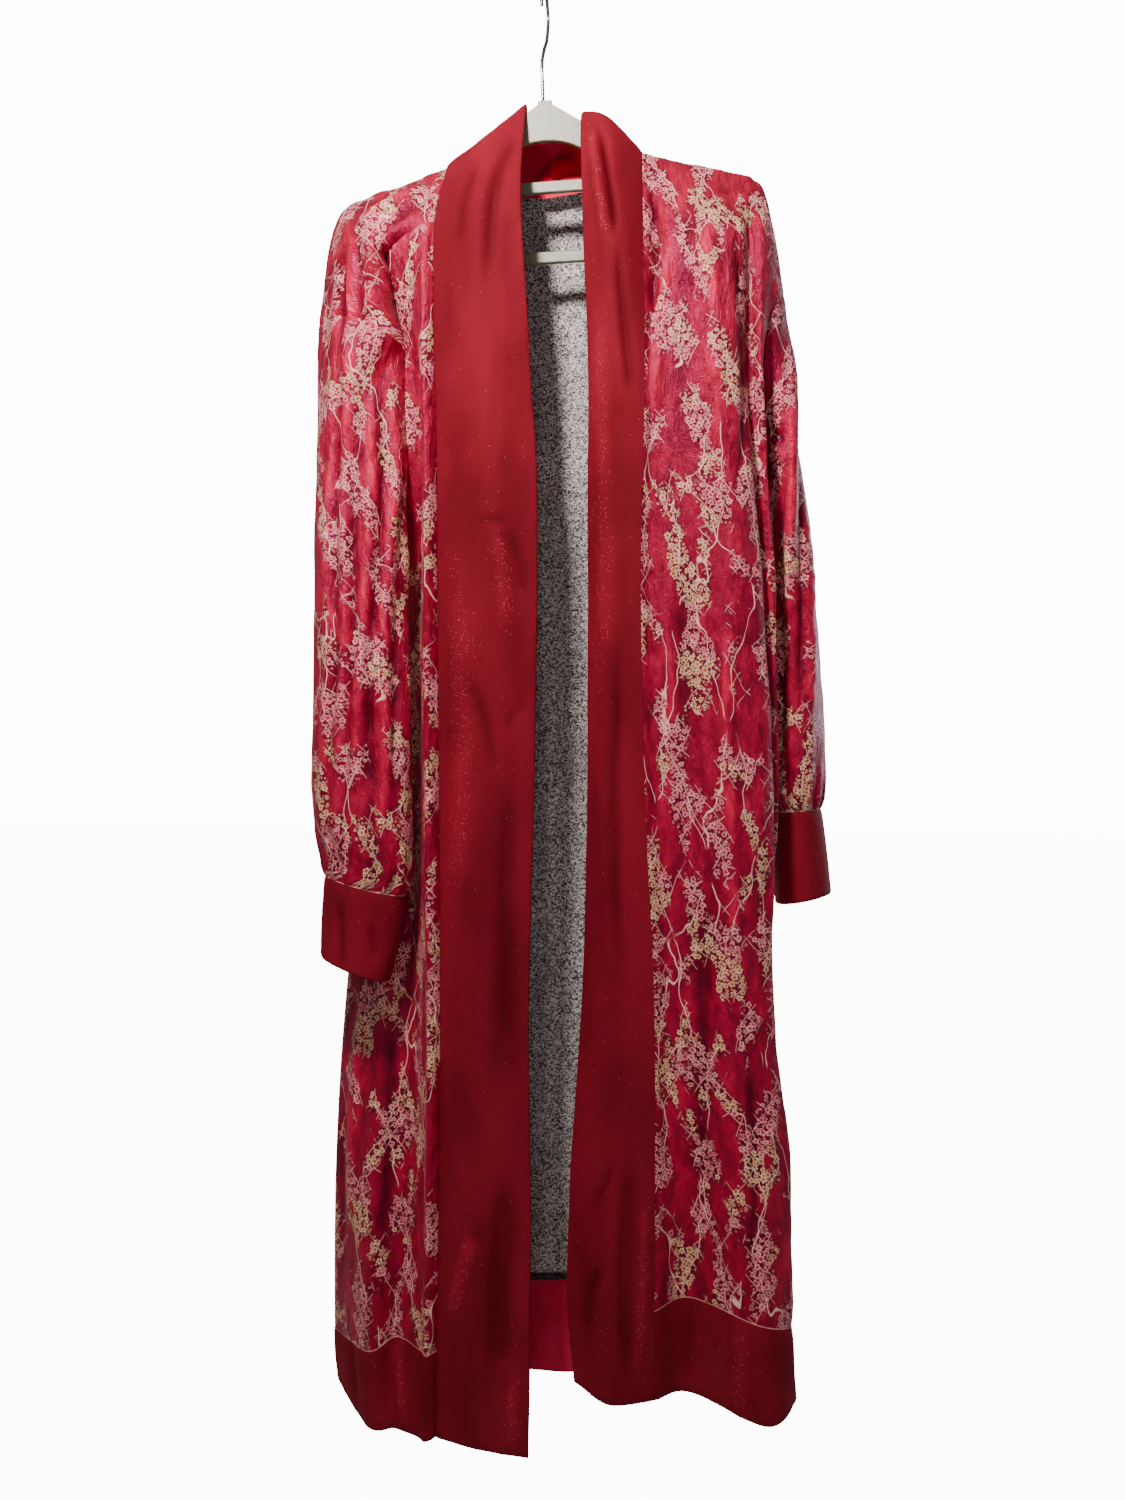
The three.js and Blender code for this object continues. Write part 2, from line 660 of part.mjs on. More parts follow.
function sleeve(armhole, armpit, table, settled) {
  const edge = armhole.map((p) => p.clone());
  const lowest = edge.reduce((low, p) => (p.z < low.z ? p : low));
  lowest.add(V(armpit));
  const ring = halved(edge);
  const count = ring.length;
  const lengths = [];
  let total = 0;
  ring.forEach((p, i) => {
    lengths.push(total);
    total += p.distanceTo(ring[(i + 1) % count]);
  });
  const middle = new THREE.Vector3();
  ring.forEach((p) => middle.addScaledVector(p, 1 / count));
  const first = Math.atan2(ring[0].y - middle.y, ring[0].x - middle.x);
  const second = Math.atan2(ring[2].y - middle.y, ring[2].x - middle.x);
  const round = (Math.sin(second - first) > 0 ? 2 : -2) * Math.PI;
  const even = ring.map((_, i) => first + (round * i) / count);
  const upper = [ring];
  [0.12, 0.28, 0.5, 0.75, 1].forEach((t) => {
    const grown = 1 - (1 - t) ** 5;
    upper.push(ring.map((p, i) => {
      const z = mix(p.z, settled, t);
      const angle = mix(first + (round * lengths[i]) / total, even[i], t);
      const q = ovalPoint(ovalAt(table, z), z, angle);
      return new THREE.Vector3(mix(p.x, q.x, grown), mix(p.y, q.y, grown), q.z);
    }));
  });
  const cuffSeam = lastOf(table).z;
  const gatherTop = cuffSeam + GATHER_HEIGHT;
  const plainCells = 3;
  for (let k = 1; k <= plainCells; k += 1) {
    const z = mix(settled, gatherTop, k / plainCells);
    upper.push(even.map((angle) => ovalPoint(ovalAt(table, z), z, angle)));
  }
  const fine = even.flatMap((angle) => [angle, angle + round / (2 * count)]);
  const lower = [0.3, 0.55, 0.8].map((t) => fine.map((angle, i) => {
    const z = mix(gatherTop, cuffSeam, t);
    const wave = Math.cos((2 * Math.PI * i) / COLUMNS_PER_GATHER);
    return ovalPoint(ovalAt(table, z), z, angle, (GATHER_DEPTH * t * wave) / 0.8);
  }));
  lower.push(halved(even.map((angle) => ovalPoint(lastOf(table), cuffSeam, angle))));
  return { upper, lower, angles: even };
}
function cuff(angles, table) {
  return table.map((oval) => angles.map((angle) => ovalPoint(oval, oval.z, angle)));
}

const leftArmhole = flapOuter.slice(0, -1)
  .concat(column(frontLeft, frontLeft[0].length - 1).slice(seamCells, leftUnderarm))
  .concat(armholeLeft.slice().reverse());
const rightArmhole = column(frontRight, frontRight[0].length - 1).slice(0, rightUnderarm)
  .concat(armholeRight.slice(1).reverse());
const sleeveLeft = sleeve(leftArmhole, [-3, -3, -4], LEFT_SLEEVE, -620);
const sleeveRight = sleeve(rightArmhole, [4, 0, -4], RIGHT_SLEEVE, -610);
const cuffLeft = cuff(sleeveLeft.angles, LEFT_CUFF);
const cuffRight = cuff(sleeveRight.angles, RIGHT_CUFF);

// Named pieces, cut apart at the hem seams
const hemAt = (grid) => grid.length - sum(HEM_ROWS) - 1;
const robeMiddle = (z) => new THREE.Vector3(10, -20, z);
const middleOf = (table) => (z) => {
  const oval = ovalAt(table, z);
  return new THREE.Vector3(oval.x, oval.y, z);
};
const pieces = [
  { name: "back_panel", wall: PRINT_WALL, cloth: PRINTED_VELVET, centre: robeMiddle,
    grids: [flap, backYoke, backSkirt.slice(0, hemAt(backSkirt) + 1)] },
  { name: "front_panel_left", wall: PRINT_WALL, cloth: PRINTED_VELVET, centre: robeMiddle,
    grids: [frontLeft.slice(0, hemAt(frontLeft) + 1)] },
  { name: "front_panel_right", wall: PRINT_WALL, cloth: PRINTED_VELVET, centre: robeMiddle,
    grids: [frontRight.slice(0, hemAt(frontRight) + 1)] },
  { name: "neck_band_left", wall: DOUBLE_WALL, cloth: PLAIN_VELVET, centre: robeMiddle,
    grids: [bandLeft] },
  { name: "neck_band_right", wall: DOUBLE_WALL, cloth: PLAIN_VELVET, centre: robeMiddle,
    grids: [bandRight] },
  { name: "hem_band_back", wall: DOUBLE_WALL, cloth: PLAIN_VELVET, centre: robeMiddle,
    grids: [backSkirt.slice(hemAt(backSkirt))] },
  { name: "hem_band_left", wall: DOUBLE_WALL, cloth: PLAIN_VELVET, centre: robeMiddle,
    grids: [frontLeft.slice(hemAt(frontLeft))] },
  { name: "hem_band_right", wall: DOUBLE_WALL, cloth: PLAIN_VELVET, centre: robeMiddle,
    grids: [frontRight.slice(hemAt(frontRight))] },
  { name: "sleeve_left", wall: PRINT_WALL, cloth: PRINTED_VELVET, centre: middleOf(LEFT_SLEEVE),
    grids: [sleeveLeft.upper, sleeveLeft.lower], closed: true },
  { name: "sleeve_right", wall: PRINT_WALL, cloth: PRINTED_VELVET, centre: middleOf(RIGHT_SLEEVE),
    grids: [sleeveRight.upper, sleeveRight.lower], closed: true },
  { name: "cuff_left", wall: DOUBLE_WALL, cloth: PLAIN_VELVET, centre: middleOf(LEFT_CUFF),
    grids: [cuffLeft], closed: true },
  { name: "cuff_right", wall: DOUBLE_WALL, cloth: PLAIN_VELVET, centre: middleOf(RIGHT_CUFF),
    grids: [cuffRight], closed: true },
];

const robe = new THREE.Group();
function addPart(name, geometry, cloth) {
  const mesh = new THREE.Mesh(geometry, cloth);
  mesh.name = name;
  robe.add(mesh);
}

const shapes = pieces.map((piece) => {
  const shape = meshOf(piece);
  orient(piece, shape);
  return shape;
});
const normals = sharedNormals(shapes);
[leftArmhole, rightArmhole, cuffLeft[0], cuffRight[0]].forEach((ring) => {
  ring.forEach((p, i) => {
    const next = ring[(i + 1) % ring.length];
    const halfway = p.clone().lerp(next, 0.5);
    const both = normals.get(key(p)).clone().add(normals.get(key(next))).normalize();
    normals.set(key(halfway), both);
  });
});
pieces.forEach((piece, n) => {
  addPart(piece.name, thicken(shapes[n], normals, piece.wall), piece.cloth);
});

// Hanger: a moulded plate with two arms, two bars under it and a wire hook
function plateOutline() {
  const under = [
    [0, -147], [22, -151], [36, -158], [UPPER_BAR_END, -184],
    [UPPER_BAR_END, -201], [150, -207], [176, ARM_TIP_UNDER], [204, ARM_TIP_UNDER],
  ];
  const top = ARM_TOP.map((p) => [p.out, p.z]).reverse();
  const neck = [[NECK_HALF_WIDTH, NECK_TOP]];
  const right = under.slice(1).concat(top, neck);
  const left = right.slice().reverse().map(([x, z]) => [-x, z]);
  return [under[0]].concat(right, left);
}
function extruded(outline, thickness) {
  const shape = new THREE.Shape(outline.map(([x, z]) => new THREE.Vector2(x, z)));
  const geometry = new THREE.ExtrudeGeometry(shape, { depth: thickness, bevelEnabled: false });
  geometry.rotateX(Math.PI / 2);
  geometry.translate(0, thickness / 2, 0);
  return geometry;
}
addPart("hanger_yoke", extruded(plateOutline(), ARM_THICKNESS), HANGER_PLASTIC);

const half = BAR_HEIGHT / 2;
const upperEnd = UPPER_BAR_END - JOINT_GAP;
addPart("hanger_bar_upper", extruded([
  [-upperEnd, UPPER_BAR_Z - half], [upperEnd, UPPER_BAR_Z - half],
  [upperEnd, UPPER_BAR_Z + half], [-upperEnd, UPPER_BAR_Z + half],
], BAR_THICKNESS), HANGER_PLASTIC);

const postTop = ARM_TIP_UNDER - JOINT_GAP;
const rightPost = [
  [POST_OUTER - half, LOWER_BAR_Z - half], [POST_OUTER, LOWER_BAR_Z],
  [POST_OUTER, postTop], [POST_INNER, postTop],
  [POST_INNER, LOWER_BAR_Z + 2 * half], [POST_INNER - half, LOWER_BAR_Z + half],
];
addPart("hanger_bar_lower", extruded(
  rightPost.concat(rightPost.slice().reverse().map(([x, z]) => [-x, z])),
  BAR_THICKNESS,
), HANGER_PLASTIC);

const wireRadius = WIRE_DIAMETER / 2;
const turn = HOOK_RADIUS + wireRadius;
const hookPath = [
  [-2, 0, NECK_TOP + JOINT_GAP], [-2.5, 0, -90], [-3, 0, -72],
  [-1.5, 5, -55], [-0.5, 15, -40], [0, turn, -HOOK_RADIUS],
];
for (let angle = 30; angle <= 180; angle += 30) {
  const a = (angle * Math.PI) / 180;
  hookPath.push([0, turn * Math.cos(a), -HOOK_RADIUS + turn * Math.sin(a)]);
}
hookPath.push([0, -turn * 0.93, -HOOK_RADIUS - 9]);
const wire = new THREE.Shape();
for (let i = 0; i < HOOK_SIDES; i += 1) {
  const a = (2 * Math.PI * i) / HOOK_SIDES;
  const corner = [wireRadius * Math.cos(a), wireRadius * Math.sin(a)];
  if (i === 0) {
    wire.moveTo(...corner);
  } else {
    wire.lineTo(...corner);
  }
}
const hook = new THREE.ExtrudeGeometry(wire, {
  steps: HOOK_STEPS,
  bevelEnabled: false,
  extrudePath: new THREE.CatmullRomCurve3(hookPath.map(V)),
});
addPart("hanger_hook", hook, HOOK_STEEL);

export default robe;
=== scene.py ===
"""Velvet kimono robe hung on a slim plastic hanger, dressed for a plain studio picture.

The tables are in millimetres in the part's own frame: the origin is the inner top of the
hanger's hook, +Z is up and the open front faces -Y.
"""

import logging
import math
from dataclasses import dataclass, field
from enum import Enum

import bpy
import numpy as np
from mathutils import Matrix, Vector, kdtree, noise


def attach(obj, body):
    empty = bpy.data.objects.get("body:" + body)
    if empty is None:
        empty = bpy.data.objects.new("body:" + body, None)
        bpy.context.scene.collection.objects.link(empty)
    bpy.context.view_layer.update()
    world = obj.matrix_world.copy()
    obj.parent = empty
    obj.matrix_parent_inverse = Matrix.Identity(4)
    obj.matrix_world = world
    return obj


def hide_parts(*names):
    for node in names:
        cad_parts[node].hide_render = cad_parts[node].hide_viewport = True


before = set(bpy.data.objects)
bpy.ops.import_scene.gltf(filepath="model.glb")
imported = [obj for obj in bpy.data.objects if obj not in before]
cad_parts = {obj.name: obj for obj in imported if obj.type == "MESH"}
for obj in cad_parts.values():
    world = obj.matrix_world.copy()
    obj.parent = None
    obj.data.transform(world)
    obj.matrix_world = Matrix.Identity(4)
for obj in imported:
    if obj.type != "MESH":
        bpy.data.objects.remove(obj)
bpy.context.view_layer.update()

Array = np.ndarray
Socket = bpy.types.NodeSocket
Spot = tuple[float, float, float]
MM = 0.001
LOG = logging.getLogger("robe")

# Cloth walls, and half the strip of cloth that lies on the hanger's arm, in millimetres
PRINT_WALL = 1.8
DOUBLE_WALL = 3.0
RIDGE_HALF = 4

# Cells of the solids' cloth between table lines and rows, and how finely each is cut here
BAND_CELLS = [2, 2]
LEFT_CELLS = [1, 2, 2, 1, 2]
RIGHT_CELLS = [1, 2, 2, 1, 2, 3]
NECK_ROWS = [2, 2, 2]
LEFT_SHOULDER_ROWS = [1, 3]
LEFT_SEAM_ROWS = [2, 1]
LEFT_ARMHOLE_ROWS = [2, 2]
RIGHT_ARMHOLE_ROWS = [1, 1, 1, 2, 2, 1, 1]
SKIRT_ROWS = [2, 2, 2, 2, 2]
HEM_ROWS = [1]
COLUMN_FINE = 7
ROW_FINE = 8
NECK_FINE = 4
RIDGE_FINE = 8

# The tables' columns: lines that run down the cloth, and the numbers of an oval
BAND_LINES = ["free", "mid", "seam"]
LEFT_LINES = ["seam", "lip", "tuck", "behind", "face", "side"]
RIGHT_LINES = ["seam", "inner", "ridge", "edge", "tuck", "pleat", "side"]
OVAL = ["z", "x", "y", "wide", "deep", "tilt", "turn"]


def rows_of(names: list[str], rows: list) -> list[dict]:
    """Names the values of each table row, which may stop before the last column."""
    return [dict(zip(names, row)) for row in rows]


# The hanger's arm and the shoulder it gives the robe, as distances out and heights
ARM_TOP = [
    (7, -113), (25, -124.5), (60, -148), (97, -172.5), (127, -181), (163, -191), (190, -200),
    (200, -208), (204, -213),
]
SHOULDER = [
    (97, -170.5), (127, -179.5), (163, -189.5), (190, -198), (205, -206), (215, -226),
    (222, -264), (229, -318),
]
# Bands and fronts, a row at each height and a point on each line
NECK_LEFT = rows_of(BAND_LINES, [
    [(0, 30, -128), (0, 37, -160), (0, 27, -191)],
    [(-14, 30, -132), (-32, 38, -160), (-40, 25, -188)],
    [(-22, 16, -124), (-56, 23, -152), (-76, 15, -178)],
    [(-18, 4, -117.3), (-60, 4, -145.8), (-97, 4, -170.5)],
    [(-18, -4, -117.6), (-60, -4, -145.8), (-97.5, -4, -170.5)],
])
LEFT_FRONT = rows_of(BAND_LINES + LEFT_LINES[1:], [
    [(-17, -38, -205), (-60, -48, -222), (-102, -34, -236), (-112, -38, -239), (-124, -38, -245),
     (-133, -37, -250), (-141, -36, -256), (-149, -35, -265)],
    [(-11, -54, -290), (-57, -62, -296), (-100, -48, -302), (-109, -53, -303), (-117, -46, -304),
     (-124, -37, -305), (-132, -31, -307), (-142, -27, -309)],
    [(-6, -60, -350), (-53, -68, -352), (-98, -55, -354), (-107, -61, -354), (-114, -47, -354),
     (-120, -33, -354), (-127, -27, -353), (-135, -24, -352)],
    [(-2, -65, -415), (-49, -73, -416), (-95, -60, -417), (-105, -67, -417), (-110, -48, -417),
     (-113, -27, -416), (-122, -21, -415), (-134, -25, -414)],
    [(3, -69, -480), (-45, -76, -480), (-93, -62, -480), (-103, -70, -480), (-109, -48, -480),
     (-113, -25, -480), (-122, -18, -480), (-134, -21, -480)],
    [(4, -70, -600), (-44, -77, -600), (-92, -64, -600), (-102, -72, -600), (-111, -46, -600),
     (-115, -17, -600), (-132, -2, -600), (-152, 7, -600)],
    [(1, -70, -790), (-45, -77, -790), (-90, -65, -790), (-100, -73, -790), (-109, -50, -790),
     (-122, -20, -790), (-150, -8, -790), (-182, 8, -790)],
    [(-4, -70, -985), (-47, -76, -985), (-89, -65, -985), (-98, -72, -985), (-106, -56, -985),
     (-126, -32, -985), (-160, -28, -985), (-200, -6, -985)],
    [(-2, -71, -1150), (-47, -75, -1150), (-91, -61, -1150), (-100, -68, -1150),
     (-108, -54, -1150), (-130, -38, -1150), (-162, -48, -1150), (-208, -14, -1150)],
    [(-2, -75, -1307), (-49, -72, -1310), (-95, -54, -1313), (-104, -61, -1315),
     (-113, -52, -1314), (-140, -36, -1312), (-164, -48, -1322), (-215, 2, -1328)],
    [(-3, -78, -1391), (-51, -68, -1394), (-97, -50, -1397), (-106, -57, -1398),
     (-115, -50, -1398), (-140, -40, -1398), (-166, -42, -1397), (-216, 14, -1384)],
])
NECK_RIGHT = rows_of(BAND_LINES, [
    [(0, 30, -128), (0, 37, -160), (0, 27, -191)],
    [(15, 30, -132), (32, 38, -158), (40, 25, -187)],
    [(28, 18, -130), (54, 26, -149), (73, 18, -177)],
])
RIGHT_FRONT = rows_of(BAND_LINES + RIGHT_LINES[1:], [
    [(33, 11, -127), (60, 13, -137), (91, 9, -176)],
    [(37, 4, -126.5), (61, 4, -132), (95, 4, -169.2)],
    [(38, -4, -126.5), (61, -4, -132), (95.5, -4, -169.2)],
    [(37, -16, -148), (64, -22, -155), (96, -14, -186)],
    [(43, -40, -272), (75, -54, -272), (99, -43, -272), (112, -38, -272), (160, -52, -272),
     (188, -46, -272), (196, -33, -272), (210, -36, -280), (222, -26, -330)],
    [(47, -39, -360), (76, -54, -360), (101, -52, -360), (113, -46, -360), (168, -57, -360),
     (190, -49, -360), (196, -34, -360), (208, -39, -360), (211, -21, -362)],
    [(48, -38, -420), (76, -55, -420), (101, -56, -420), (114, -50, -420), (172, -58, -420),
     (192, -50, -420), (197, -34, -420), (209, -39, -420), (197, -9, -418)],
    [(47, -38, -480), (76, -56, -480), (100, -58, -480), (114, -52, -480), (176, -60, -480),
     (197, -51, -480), (199, -35, -480), (212, -39, -480), (184, 5, -480)],
    [(47, -37, -600), (76, -56, -600), (98, -60, -600), (114, -54, -600), (182, -62, -600),
     (207, -52, -600), (204, -37, -600), (219, -38, -600), (188, 0, -600)],
    [(46, -36, -790), (76, -56, -790), (102, -61, -790), (120, -54, -790), (184, -62, -790),
     (217, -52, -790), (209, -38, -790), (222, -38, -790), (194, -4, -790)],
    [(42, -36, -965), (78, -56, -965), (110, -61, -965), (130, -52, -965), (186, -61, -965),
     (217, -48, -965), (210, -35, -965), (212, -26, -965), (198, -2, -965)],
    [(31, -36, -1125), (74, -56, -1125), (111, -60, -1125), (136, -45, -1125), (194, -63, -1125),
     (231, -47, -1125), (227, -31, -1125), (225, -18, -1125), (214, 0, -1125)],
    [(27, -38, -1262), (70, -56, -1262), (110, -54, -1262), (142, -38, -1254), (204, -66, -1262),
     (233, -46, -1272), (231, -29, -1272), (229, -15, -1272), (220, 2, -1270)],
    [(34, -38, -1340), (68, -55, -1350), (109, -50, -1346), (142, -32, -1345), (211, -69, -1350),
     (237, -42, -1343), (235, -27, -1343), (232, -13, -1342), (223, 3, -1341)],
])
# Depth of the right front's first rows over the arm, and how far each has dropped
OVER_ARM = [
    (9, 8), (RIDGE_HALF, 0), (-RIDGE_HALF, 0), (-14, 17),
]
# Armholes, from the shoulder down
FLAP_ARMHOLE = [
    (-135, -24, -352), (-146, -45, -345), (-170, -46, -331), (-200, -28, -319), (-229, -4, -318),
]
BACK_ARMHOLE_LEFT = [
    (-229, 4, -318), (-222, 22, -322), (-200, 34, -352), (-172, 26, -420), (-150, 4, -464),
    (-134, -21, -480),
]
BACK_ARMHOLE_RIGHT = [
    (229, 9, -318), (227, 24, -325), (219, 34, -360), (203, 28, -430), (184, 5, -480),
]
# Ovals of the sleeves and cuffs, from the top down
LEFT_SLEEVE = rows_of(OVAL, [
    (-470, -176, -28, 45, 27, 0, 0),
    (-520, -175.5, -38, 44.5, 27, 0, 0),
    (-600, -172, -46, 45, 28, 0, 0),
    (-680, -168, -56, 46, 28, 0, 0),
    (-775, -166.5, -61, 47.5, 29, 0.02, 0),
    (-825, -163.5, -62, 46.5, 30, 0.07, 0),
    (-850, -160.5, -61, 44, 28, 0.14, 0),
    (-873, -162.5, -61, 38, 25, 0.25, 0),
])
RIGHT_SLEEVE = rows_of(OVAL, [
    (-450, 224, 15, 18, 40, 0, 0.26),
    (-510, 227.5, 19, 21, 44, 0, 0.26),
    (-570, 231, 21, 23, 44, 0, 0.26),
    (-650, 235.5, 21, 26, 43, 0, 0.21),
    (-730, 239.5, 20, 28, 42, 0, 0.17),
    (-772, 239.5, 18, 29, 41, 0, 0.14),
    (-792, 240, 17, 27, 38, -0.04, 0.1),
    (-803, 241, 16, 24, 34, -0.08, 0.08),
])
LEFT_CUFF = rows_of(OVAL, [
    (-873, -162.5, -61, 38, 25, 0.25, 0),
    (-915, -166.5, -62, 36.5, 25, 0.24, 0),
    (-950, -171, -64, 31.5, 26, 0.38, 0),
])
RIGHT_CUFF = rows_of(OVAL, [
    (-803, 241, 16, 24, 34, -0.08, 0.08),
    (-846, 245, 15, 25, 34, -0.14, 0.04),
    (-887, 249, 15, 25, 33, -0.22, 0),
])


class Side(Enum):
    """Which side of a piece a fold shows on."""

    FRONT = -1
    BACK = 1
    BOTH = 0


@dataclass(frozen=True)
class Fold:
    """A soft ridge or trough drawn along a given path on the cloth.

    The path is in x and z, and the height is outward from the cloth, below 0 for a trough.
    """

    pieces: tuple[str, ...]
    path: tuple[tuple[float, float], ...]
    width: float
    height: float
    side: Side


def folds(pieces: str, side: Side, rows: list[tuple[float, ...]]) -> list[Fold]:
    """Reads a table of folds that lie on the same pieces.

    Args:
        pieces: The pieces' names.
        side: The side that they show on.
        rows: For each fold its width, its height, and the x and z of its path in turn.

    Returns:
        The folds.
    """
    names = tuple(pieces.split())
    return [Fold(names, tuple(zip(row[2::2], row[3::2])), row[0], row[1], side) for row in rows]


FOLDS = [
    *folds("neck_band_left", Side.FRONT, [
        (7, -1.8, -28, -150, -38, -192, -42, -239, -44, -319),
        (8, -1.2, -64, -178, -72, -225, -78, -281),
        (2.6, 0.9, -53, -522, -40, -524, -23, -524),
        (3.5, -0.8, -50, -529, -38, -531, -24, -531),
        (7, 1.6, -33, -547, -27, -584, -24, -644),
        (5, -1.4, -25, -543, -11, -571, -5, -608),
        (6, -1.7, -60, -681, -45, -717, -33, -768),
        (4.5, -1.3, -2, -690, -16, -710, -25, -719),
        (12, 1.3, -70, -560, -66, -740, -72, -900),
        (12, -1.6, -20, -760, -26, -900, -18, -1060),
        (7, 2.0, -55, -1193, -66, -1230, -80, -1282),
        (4, -1.3, -87, -1199, -58, -1195, -38, -1179),
        (3, 1.0, -76, -1322, -50, -1315, -20, -1309),
        (12, -2.6, -26, -1141, -31, -1233, -33, -1321),
        (5, 1.8, -14, -1318, -18, -1350, -16, -1388),
    ]),
    *folds("neck_band_right", Side.FRONT, [
        (4.5, -3.2, 55, -150, 63, -196, 69, -234, 75, -268),
        (5.5, 2.0, 48, -146, 55, -196, 61, -236, 66, -276),
        (6, -1.8, 77, -279, 80, -330, 86, -385, 90, -422),
        (9, 1.3, 62, -300, 60, -420, 66, -560, 62, -700),
        (8, -1.5, 76, -640, 70, -800, 78, -960),
        (4.5, -1.4, 48, -1177, 62, -1153, 71, -1129),
        (6, -1.8, 62, -1221, 49, -1254, 46, -1291),
        (9, -2.0, 88, -1120, 82, -1220, 86, -1340),
        (5, 1.3, 103, -1140, 100, -1241, 92, -1343),
    ]),
    *folds("neck_band_left neck_band_right", Side.BOTH, [
        (4.5, -2.2, -12, -170, 6, -152, 28, -146),
        (4.5, 2.0, -10, -180, 12, -164, 38, -160),
    ]),
    *folds("front_panel_right hem_band_right", Side.FRONT, [
        (4, -2.6, 106, -206, 111, -266, 108, -358),
        (6, 2.2, 123, -276, 115, -358, 108, -450),
        (6, -1.7, 132, -215, 139, -300, 134, -400, 140, -520),
        (8, 1.9, 152, -242, 163, -316, 166, -407, 172, -499),
        (5, -1.6, 184, -263, 190, -355, 192, -445, 186, -536),
        (9, -2.0, 143, -572, 138, -645, 139, -754),
        (7, 1.4, 122, -600, 126, -720, 120, -860),
        (6, 2.1, 180, -609, 177, -718, 181, -845, 186, -971),
        (8, -2.0, 163, -845, 156, -954, 152, -1064, 159, -1173),
        (6, -1.6, 196, -1010, 201, -1120, 196, -1240),
        (8, 1.6, 134, -1000, 128, -1100, 136, -1220),
        (6, -1.4, 143, -1262, 139, -1336),
        (7, 1.4, 190, -1262, 188, -1347),
    ]),
    *folds("front_panel_left hem_band_left", Side.FRONT, [
        (3, -0.9, -105, -330, -107, -560, -104, -800, -106, -1050),
        (8, -2.2, -150, -990, -143, -1120, -152, -1240),
        (9, 2.0, -176, -980, -184, -1100, -180, -1220),
        (6, -1.5, -196, -1080, -199, -1180, -196, -1290),
        (6, -1.6, -188, -1323, -181, -1378),
        (6, 1.8, -138, -1315, -131, -1386),
        (5, -1.4, -108, -1321, -105, -1392),
    ]),
    *folds("back_panel sleeve_left", Side.FRONT, [
        (4, 2.3, -165, -232, -163, -274, -162, -306, -160, -420),
        (4.5, -1.8, -174, -252, -173, -290, -173, -340),
        (4, 2.0, -183, -240, -184, -293, -184, -340, -186, -430),
        (4.5, -1.6, -192, -262, -194, -300, -194, -350),
        (4, 1.6, -200, -246, -203, -285, -205, -340),
        (3.6, -3.2, -151, -262, -144, -278, -141, -305, -136, -345),
    ]),
    *folds("back_panel", Side.FRONT, [
        (6, -2.2, -108, -205, -128, -222, -148, -246),
        (6, 1.6, -120, -196, -150, -212, -176, -240),
    ]),
    *folds("sleeve_left cuff_left", Side.FRONT, [
        (5, 2.0, -198, -352, -199, -500, -194, -660, -199, -820),
        (5, -2.0, -190, -360, -192, -500, -186, -650, -191, -800),
        (5, 2.4, -182, -351, -184, -492, -177, -642, -182, -830),
        (5, -2.2, -173, -420, -172, -530, -168, -650, -173, -800),
        (5.5, 2.3, -164, -380, -160, -457, -157, -568, -163, -698, -160, -838),
        (5, -2.6, -152, -390, -148, -520, -152, -660, -148, -850),
        (5, 2.2, -146, -360, -138, -486, -141, -625, -136, -754, -142, -847),
        (4.5, -1.8, -133, -430, -131, -560, -130, -690, -130, -830),
    ]),
    *folds("sleeve_left cuff_left", Side.BACK, [
        (6, 2.2, -190, -400, -180, -520, -188, -700, -184, -850),
        (6, -2.2, -174, -400, -168, -560, -172, -720, -166, -850),
        (6, 2.2, -158, -400, -152, -560, -158, -700, -150, -850),
    ]),
    *folds("sleeve_left cuff_left", Side.BOTH, [
        (10, 1.6, -126, -440, -124, -520, -124, -600),
    ]),
    *folds("sleeve_left cuff_left", Side.FRONT, [
        (5, -1.2, -150, -905, -146, -940),
        (6, -1.4, -180, -885, -176, -950),
    ]),
    *folds("sleeve_right cuff_right", Side.FRONT, [
        (5, 2.2, 236, -344, 238, -430, 236, -525, 234, -640),
        (5, -2.0, 242, -380, 245, -480, 246, -600, 244, -730),
        (5, 1.8, 247, -430, 252, -526, 254, -640, 252, -790),
        (5, -1.8, 226, -500, 226, -620, 228, -780),
        (4, -2.8, 212, -440, 221, -450, 232, -458),
        (5, 1.8, 214, -462, 224, -470, 236, -472),
    ]),
    *folds("sleeve_right cuff_right", Side.BACK, [
        (6, -2.2, 240, -400, 244, -560, 238, -760),
        (6, 2.0, 226, -400, 230, -560, 226, -760),
    ]),
    *folds("back_panel hem_band_back", Side.BACK, [
        (11, 3.0, -150, -235, -118, -420, -104, -700, -110, -1000),
        (12, -3.0, -120, -300, -84, -520, -78, -800, -70, -1300),
        (12, 2.6, -60, -260, -42, -520, -46, -900, -40, -1340),
        (10, -2.4, 0, -220, -8, -500, 4, -900, -4, -1340),
        (12, 2.6, 48, -260, 40, -600, 50, -1000, 44, -1340),
        (11, -2.8, 90, -300, 84, -620, 92, -1000, 88, -1340),
        (12, 3.0, 150, -240, 128, -460, 134, -800, 130, -1200),
        (9, -2.2, 176, -420, 168, -700, 174, -1000, 170, -1300),
    ]),
]


